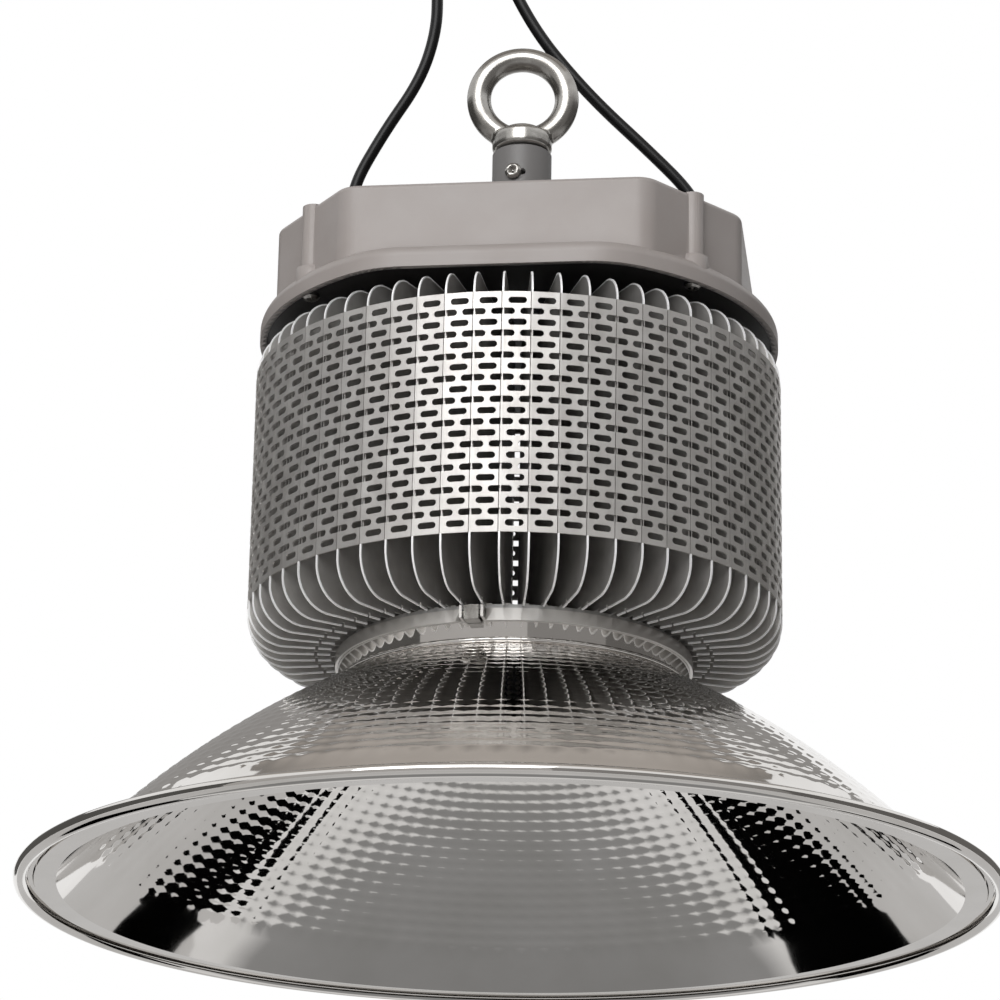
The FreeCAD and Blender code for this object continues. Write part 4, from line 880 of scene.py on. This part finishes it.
# Leads ----------------------------------------------------------------------------------------
@dataclass(frozen=True)
class Lead:
    """A sheathed lead from its gland up past the eye, ending in stripped cores."""

    name: str
    route_mm: Sequence[Point]
    length: float
    radius_mm: float = 2.8

    def build(self, wardrobe: Wardrobe, frame: dict[str, Any]) -> bpy.types.Object:
        """Lay the lead along its route.

        Args:
            wardrobe: The finishes.

        Returns:
            The lead's curve.
        """
        data = bpy.data.curves.new(self.name, "CURVE")
        data.dimensions = "3D"
        data.bevel_depth = self.radius_mm * MM
        data.bevel_resolution = 7
        data.resolution_u = 24
        data.use_fill_caps = True
        line = data.splines.new("NURBS")
        line.points.add(len(self.route_mm) - 1)
        for point, (x, y, z) in zip(line.points, self.route_mm):
            point.co = (x * MM, y * MM, z * MM, 1.0)
        line.order_u = 3
        line.use_endpoint_u = True
        piece = bpy.data.objects.new(f"{self.name}_sheath", data)
        bpy.context.scene.collection.objects.link(piece)
        wardrobe.finish_piece(piece, Slot.SHEATH, self.name)
        ends = [Carried(f"{self.name}_cores", f"{self.name}_cores_insulated", Slot.CORE),
                Carried(f"{self.name}_ferrules", f"{self.name}_ferrules_tinned", Slot.TINNED)]
        [end.build(wardrobe, frame) for end in ends]
        return piece


LEADS = (
    Lead("lead_left", (
        (-77.87, 39.5, 318.2), (-77.87, 39.5, 334.0), (-81.4, 39.5, 353.2), (-66.2, 39.2, 384.0),
        (-49.5, 38.6, 411.0), (-42.3, 37.8, 436.0), (-41.8, 37.2, 458.0), (-44.5, 36.4, 480.0),
        (-45.2, 36.0, 497.0)), 0.188),
    Lead("lead_right", (
        (84.97, 20.08, 318.2), (84.97, 20.08, 333.5), (78.5, 20.0, 348.0), (59.0, 19.8, 368.5),
        (38.0, 19.4, 389.0), (23.0, 19.2, 406.0), (8.0, 18.9, 425.3), (-4.5, 18.6, 448.0),
        (-12.5, 18.3, 469.0), (-16.0, 18.0, 486.0)), 0.201),
)


# Reflector ------------------------------------------------------------------------------------
@dataclass(frozen=True)
class Reflector:
    """Spun bell with a rolled rim, its upper skirt pressed into rows of shallow cushions. Sizes
    are in millimetres and degrees."""

    neck_radius: float = 78.0
    neck_top: float = 109.7
    neck_middle: float = 104.0
    neck_foot: float = 95.5
    neck_bead: float = 1.2
    neck_bead_steps: int = 6
    bell_centre: Place = (-114.12, -276.63)
    bell_radius: float = 418.76
    bell_start: float = 62.70
    bell_end: float = 42.02
    lip_radius: float = 199.5
    lip_height: float = 3.7
    step_radius: float = 205.5
    step_width: float = 0.5
    step_height: float = 0.8
    bead_radius: float = 3.2
    bead_steps: int = 16
    rim_radius: float = 215.0
    curl_end: float = 150.0
    wall: float = 1.0
    columns: int = 100
    cell_steps: int = 4
    rows: int = 21
    row_steps: int = 4
    row_start: float = 1.2
    row_length: float = 6.05
    plain_steps: int = 4
    cushion: float = 0.36
    near_bell: float = 0.05
    weld: float = 0.01
    smooth_angle: float = 40.0

    def profile(self) -> list[Place]:
        """Outer skin from the top of the neck to the end of the curl."""
        bead_x = self.rim_radius - self.bead_radius
        edge = self.lip_height + self.step_height
        rise = math.degrees(math.asin((edge - self.bead_radius) / self.bead_radius))
        points = [(self.neck_radius, self.neck_top), (self.neck_radius, self.neck_middle)]
        points += arc((self.neck_radius, self.neck_foot + self.neck_bead), self.neck_bead,
                      90, -90, self.neck_bead_steps)
        points += [
            on_circle(self.bell_centre, self.bell_radius,
                      self.bell_start - math.degrees(place / self.bell_radius))
            for place in self.stations()]
        points += [(self.lip_radius, self.lip_height), (self.step_radius, self.lip_height),
                   (self.step_radius + self.step_width, edge)]
        points += arc((bead_x, self.bead_radius), self.bead_radius, 180 - rise, -self.curl_end,
                      self.bead_steps)
        return points

    def stations(self) -> list[float]:
        """Distances down the bell from the neck at which the skin has a ring of vertices."""
        whole = self.bell_radius * math.radians(self.bell_start - self.bell_end)
        step = self.row_length / self.row_steps
        pressed = [self.row_start + step * index
                   for index in range(self.rows * self.row_steps + 1)]
        left = whole - pressed[-1]
        return pressed + [pressed[-1] + left * (index + 1) / self.plain_steps
                          for index in range(self.plain_steps)]

    def press(self, piece: bpy.types.Object) -> None:
        """Move the vertices of each cushion out along the bell's normal."""
        cell = TURN / self.columns
        low = self.row_start
        high = low + self.rows * self.row_length
        for vertex in piece.data.vertices:
            x, y, z = vertex.co / MM
            radius = math.hypot(x, y)
            offset_x, offset_z = radius - self.bell_centre[0], z - self.bell_centre[1]
            if abs(math.hypot(offset_x, offset_z) - self.bell_radius) > self.near_bell:
                continue
            angle = math.atan2(offset_z, offset_x)
            place = self.bell_radius * (math.radians(self.bell_start) - angle)
            if not low < place < high:
                continue
            across = (math.atan2(x, -y) / cell) % 1.0 - 0.5
            along = ((place - low) / self.row_length) % 1.0 - 0.5
            height = self.cushion * (1 - 4 * across * across) * (1 - 4 * along * along)
            out = math.cos(angle) * height
            grow = (radius + out) / radius
            vertex.co = Vector((x * grow, y * grow, z + math.sin(angle) * height)) * MM

    def build(self, wardrobe: Wardrobe) -> bpy.types.Object:
        """Spin the bell, press its cushions and give the sheet its thickness."""
        piece = drawn_line("reflector_bell", self.profile())
        edit(piece)
        bpy.ops.mesh.spin(steps=self.columns * self.cell_steps, angle=TURN, center=(0, 0, 0),
                          axis=(0, 0, 1))
        bpy.ops.mesh.select_all(action="SELECT")
        bpy.ops.mesh.remove_doubles(threshold=self.weld * MM)
        bpy.ops.mesh.normals_make_consistent(inside=False)
        bpy.ops.object.mode_set(mode="OBJECT")
        self.press(piece)
        if self.faces_inward(piece):
            edit(piece)
            bpy.ops.mesh.flip_normals()
            bpy.ops.object.mode_set(mode="OBJECT")
        apply_modifier(piece, "SOLIDIFY", thickness=self.wall * MM, offset=-1.0,
                       use_even_offset=True)
        smooth(piece, self.smooth_angle)
        return wardrobe.finish_piece(piece, Slot.REFLECTOR, "reflector")

    def faces_inward(self, piece: bpy.types.Object) -> bool:
        """Whether the neck's faces look at the axis."""
        for face in piece.data.polygons:
            middle = face.center / MM
            if middle.z > (self.neck_foot + self.neck_middle) / 2:
                return Vector((middle.x, middle.y, 0.0)).dot(face.normal) < 0.0
        return False


# Lifting eye ----------------------------------------------------------------------------------
@dataclass(frozen=True)
class LiftingEye:
    """Forged ring on a round collar, blended where they meet, above a threaded shank. Sizes are
    in millimetres and degrees."""

    ring_radius: float = 20.5
    bar_radius: float = 5.6
    ring_height: float = 384.0
    collar_radius: float = 13.9
    collar_low: float = 356.7
    collar_high: float = 365.9
    collar_edge: float = 2.2
    neck_radius: float = 9.5
    neck_rise: float = 2.6
    neck_edge: float = 1.4
    shank_radius: float = 5.95
    shank_low: float = 334.7
    shank_edge: float = 0.8
    overlap: float = 1.0
    voxel: float = 0.55
    smooth_angle: float = 60.0

    def build(self, wardrobe: Wardrobe) -> bpy.types.Object:
        """Join the ring, its collar and the shank into one forging."""
        deselect_all()
        bpy.ops.mesh.primitive_torus_add(
            major_segments=96, minor_segments=32, major_radius=self.ring_radius * MM,
            minor_radius=self.bar_radius * MM, location=(0, 0, self.ring_height * MM),
            rotation=(math.radians(90), 0, 0))
        ring = named("lifting_eye")
        settle(ring)
        blocks = [
            self.turned_block("eye_collar", self.collar_radius, self.collar_low, self.collar_high,
                              self.collar_edge),
            self.turned_block("eye_neck", self.neck_radius, self.collar_high - self.overlap,
                              self.collar_high + self.neck_rise, self.neck_edge),
            self.turned_block("eye_shank", self.shank_radius, self.shank_low,
                              self.collar_low + self.overlap, self.shank_edge)]
        select_only(ring)
        for block in blocks:
            block.select_set(True)
        bpy.ops.object.join()
        apply_modifier(ring, "REMESH", mode="VOXEL", voxel_size=self.voxel * MM)
        apply_modifier(ring, "SMOOTH", factor=0.5, iterations=6)
        smooth(ring, self.smooth_angle)
        return wardrobe.finish_piece(ring, Slot.ZINC, "eye_bolt")

    def turned_block(self, name: str, radius: float, low: float, high: float,
                     edge: float) -> bpy.types.Object:
        """Round block on the axis with its edges rounded."""
        deselect_all()
        bpy.ops.mesh.primitive_cylinder_add(
            vertices=72, radius=radius * MM, depth=(high - low) * MM,
            location=(0, 0, (low + high) / 2 * MM))
        piece = named(name)
        settle(piece)
        apply_modifier(piece, "BEVEL", width=edge * MM, segments=5, limit_method="ANGLE",
                       angle_limit=math.radians(60))
        return piece


# Carried CAD pieces ---------------------------------------------------------------------------
@dataclass(frozen=True)
class Carried:
    """A CAD node that is shown through a welded, smoothly shaded copy of its mesh."""

    node: str
    name: str
    slot: Slot
    barrel_mm: float = 0.0
    smooth_angle: float = 32.0
    weld_mm: float = 0.002
    near_barrel_mm: float = 0.02

    def even_barrel(self, piece: bpy.types.Object) -> None:
        """Point the normals straight out on the barrel round the axis, which its holes cut into
        long thin faces."""
        mesh = piece.data
        normals = [corner.vector.copy() for corner in mesh.corner_normals]
        for face in mesh.polygons:
            places = [Vector((*mesh.vertices[index].co.xy, 0.0)) for index in face.vertices]
            if all(abs(place.length - self.barrel_mm * MM) < self.near_barrel_mm * MM
                   for place in places):
                for corner, place in zip(face.loop_indices, places):
                    normals[corner] = place.normalized()
        mesh.normals_split_custom_set(normals)

    def build(self, wardrobe: Wardrobe, frame: dict[str, Any]) -> bpy.types.Object:
        """Copy the node's mesh, weld it and shade its rounds smooth."""
        source = frame["nodes"][self.node]
        piece = bpy.data.objects.new(self.name, source.data.copy())
        bpy.context.scene.collection.objects.link(piece)
        edit(piece)
        bpy.ops.mesh.remove_doubles(threshold=self.weld_mm * MM)
        bpy.ops.object.mode_set(mode="OBJECT")
        smooth(piece, self.smooth_angle)
        apply_modifier(piece, "WEIGHTED_NORMAL", keep_sharp=True, weight=100)
        if self.barrel_mm:
            self.even_barrel(piece)
        return wardrobe.finish_piece(piece, self.slot, self.node)


SMOOTHED = (
    Carried("driver_housing", "driver_housing_casting", Slot.HOUSING, barrel_mm=13.75),
    Carried("cover_plate", "cover_plate_coated", Slot.COVER),
    Carried("housing_gasket", "housing_gasket_sheet", Slot.RUBBER),
    Carried("clamp_band", "clamp_band_strip", Slot.BAND),
    Carried("clamp_block", "clamp_block_forged", Slot.ZINC),
    Carried("clamp_rivet", "clamp_rivet_pin", Slot.ZINC),
    Carried("base_plate", "base_plate_turned", Slot.PLATE),
    Carried("eye_lock_screw", "eye_lock_screw_plated", Slot.ZINC),
    Carried("lens", "lens_disc", Slot.GLASS),
    Carried("lens_ring", "lens_ring_turned", Slot.PLATE),
    Carried("lens_gasket", "lens_gasket_ring", Slot.SILICONE),
    Carried("gland_bodies", "gland_bodies_moulded", Slot.NYLON),
    Carried("gland_nuts", "gland_nuts_moulded", Slot.NYLON),
    Carried("gland_locknuts", "gland_locknuts_moulded", Slot.NYLON),
    Carried("gland_seals", "gland_seals_moulded", Slot.RUBBER),
    Carried("posts", "posts_turned", Slot.ZINC),
    Carried("output_lead", "output_lead_sheath", Slot.SHEATH),
    Carried("lead_grommet", "lead_grommet_moulded", Slot.RUBBER),
)

# CAD nodes that are shown as they are.
KEPT: dict[Slot, tuple[str, ...]] = {
    Slot.ZINC: ("board_screws", "cover_screws", "driver_screws", "lens_ring_screws",
                "post_screws_low", "post_screws_top", "terminal_screws"),
    Slot.PLATE: ("driver_rails",),
    Slot.DRIVER: ("driver_unit",),
    Slot.TERMINAL: ("terminal_block",),
    Slot.SHEATH: ("inner_lead_left", "inner_lead_right"),
    Slot.BOARD: ("led_board",),
    Slot.PHOSPHOR: ("led_packages",),
    Slot.FIN: tuple(f"fin_sector_{index:02d}" for index in range(1, 13)),
}


def main() -> None:
    """Build the scene."""
    logging.basicConfig(level=logging.INFO, format="%(name)s: %(message)s")
    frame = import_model()
    bpy.context.scene.view_settings.view_transform = "Standard"
    wardrobe = Wardrobe(FINISHES)
    Studio().build()
    for lead in LEADS:
        lead.build(wardrobe, frame)
    Reflector().build(wardrobe)
    LiftingEye().build(wardrobe)
    for carried in SMOOTHED:
        carried.build(wardrobe, frame)
    for slot, nodes in KEPT.items():
        for node in nodes:
            wardrobe.dress(frame["nodes"][node], slot)


if __name__ == "__main__":
    main()
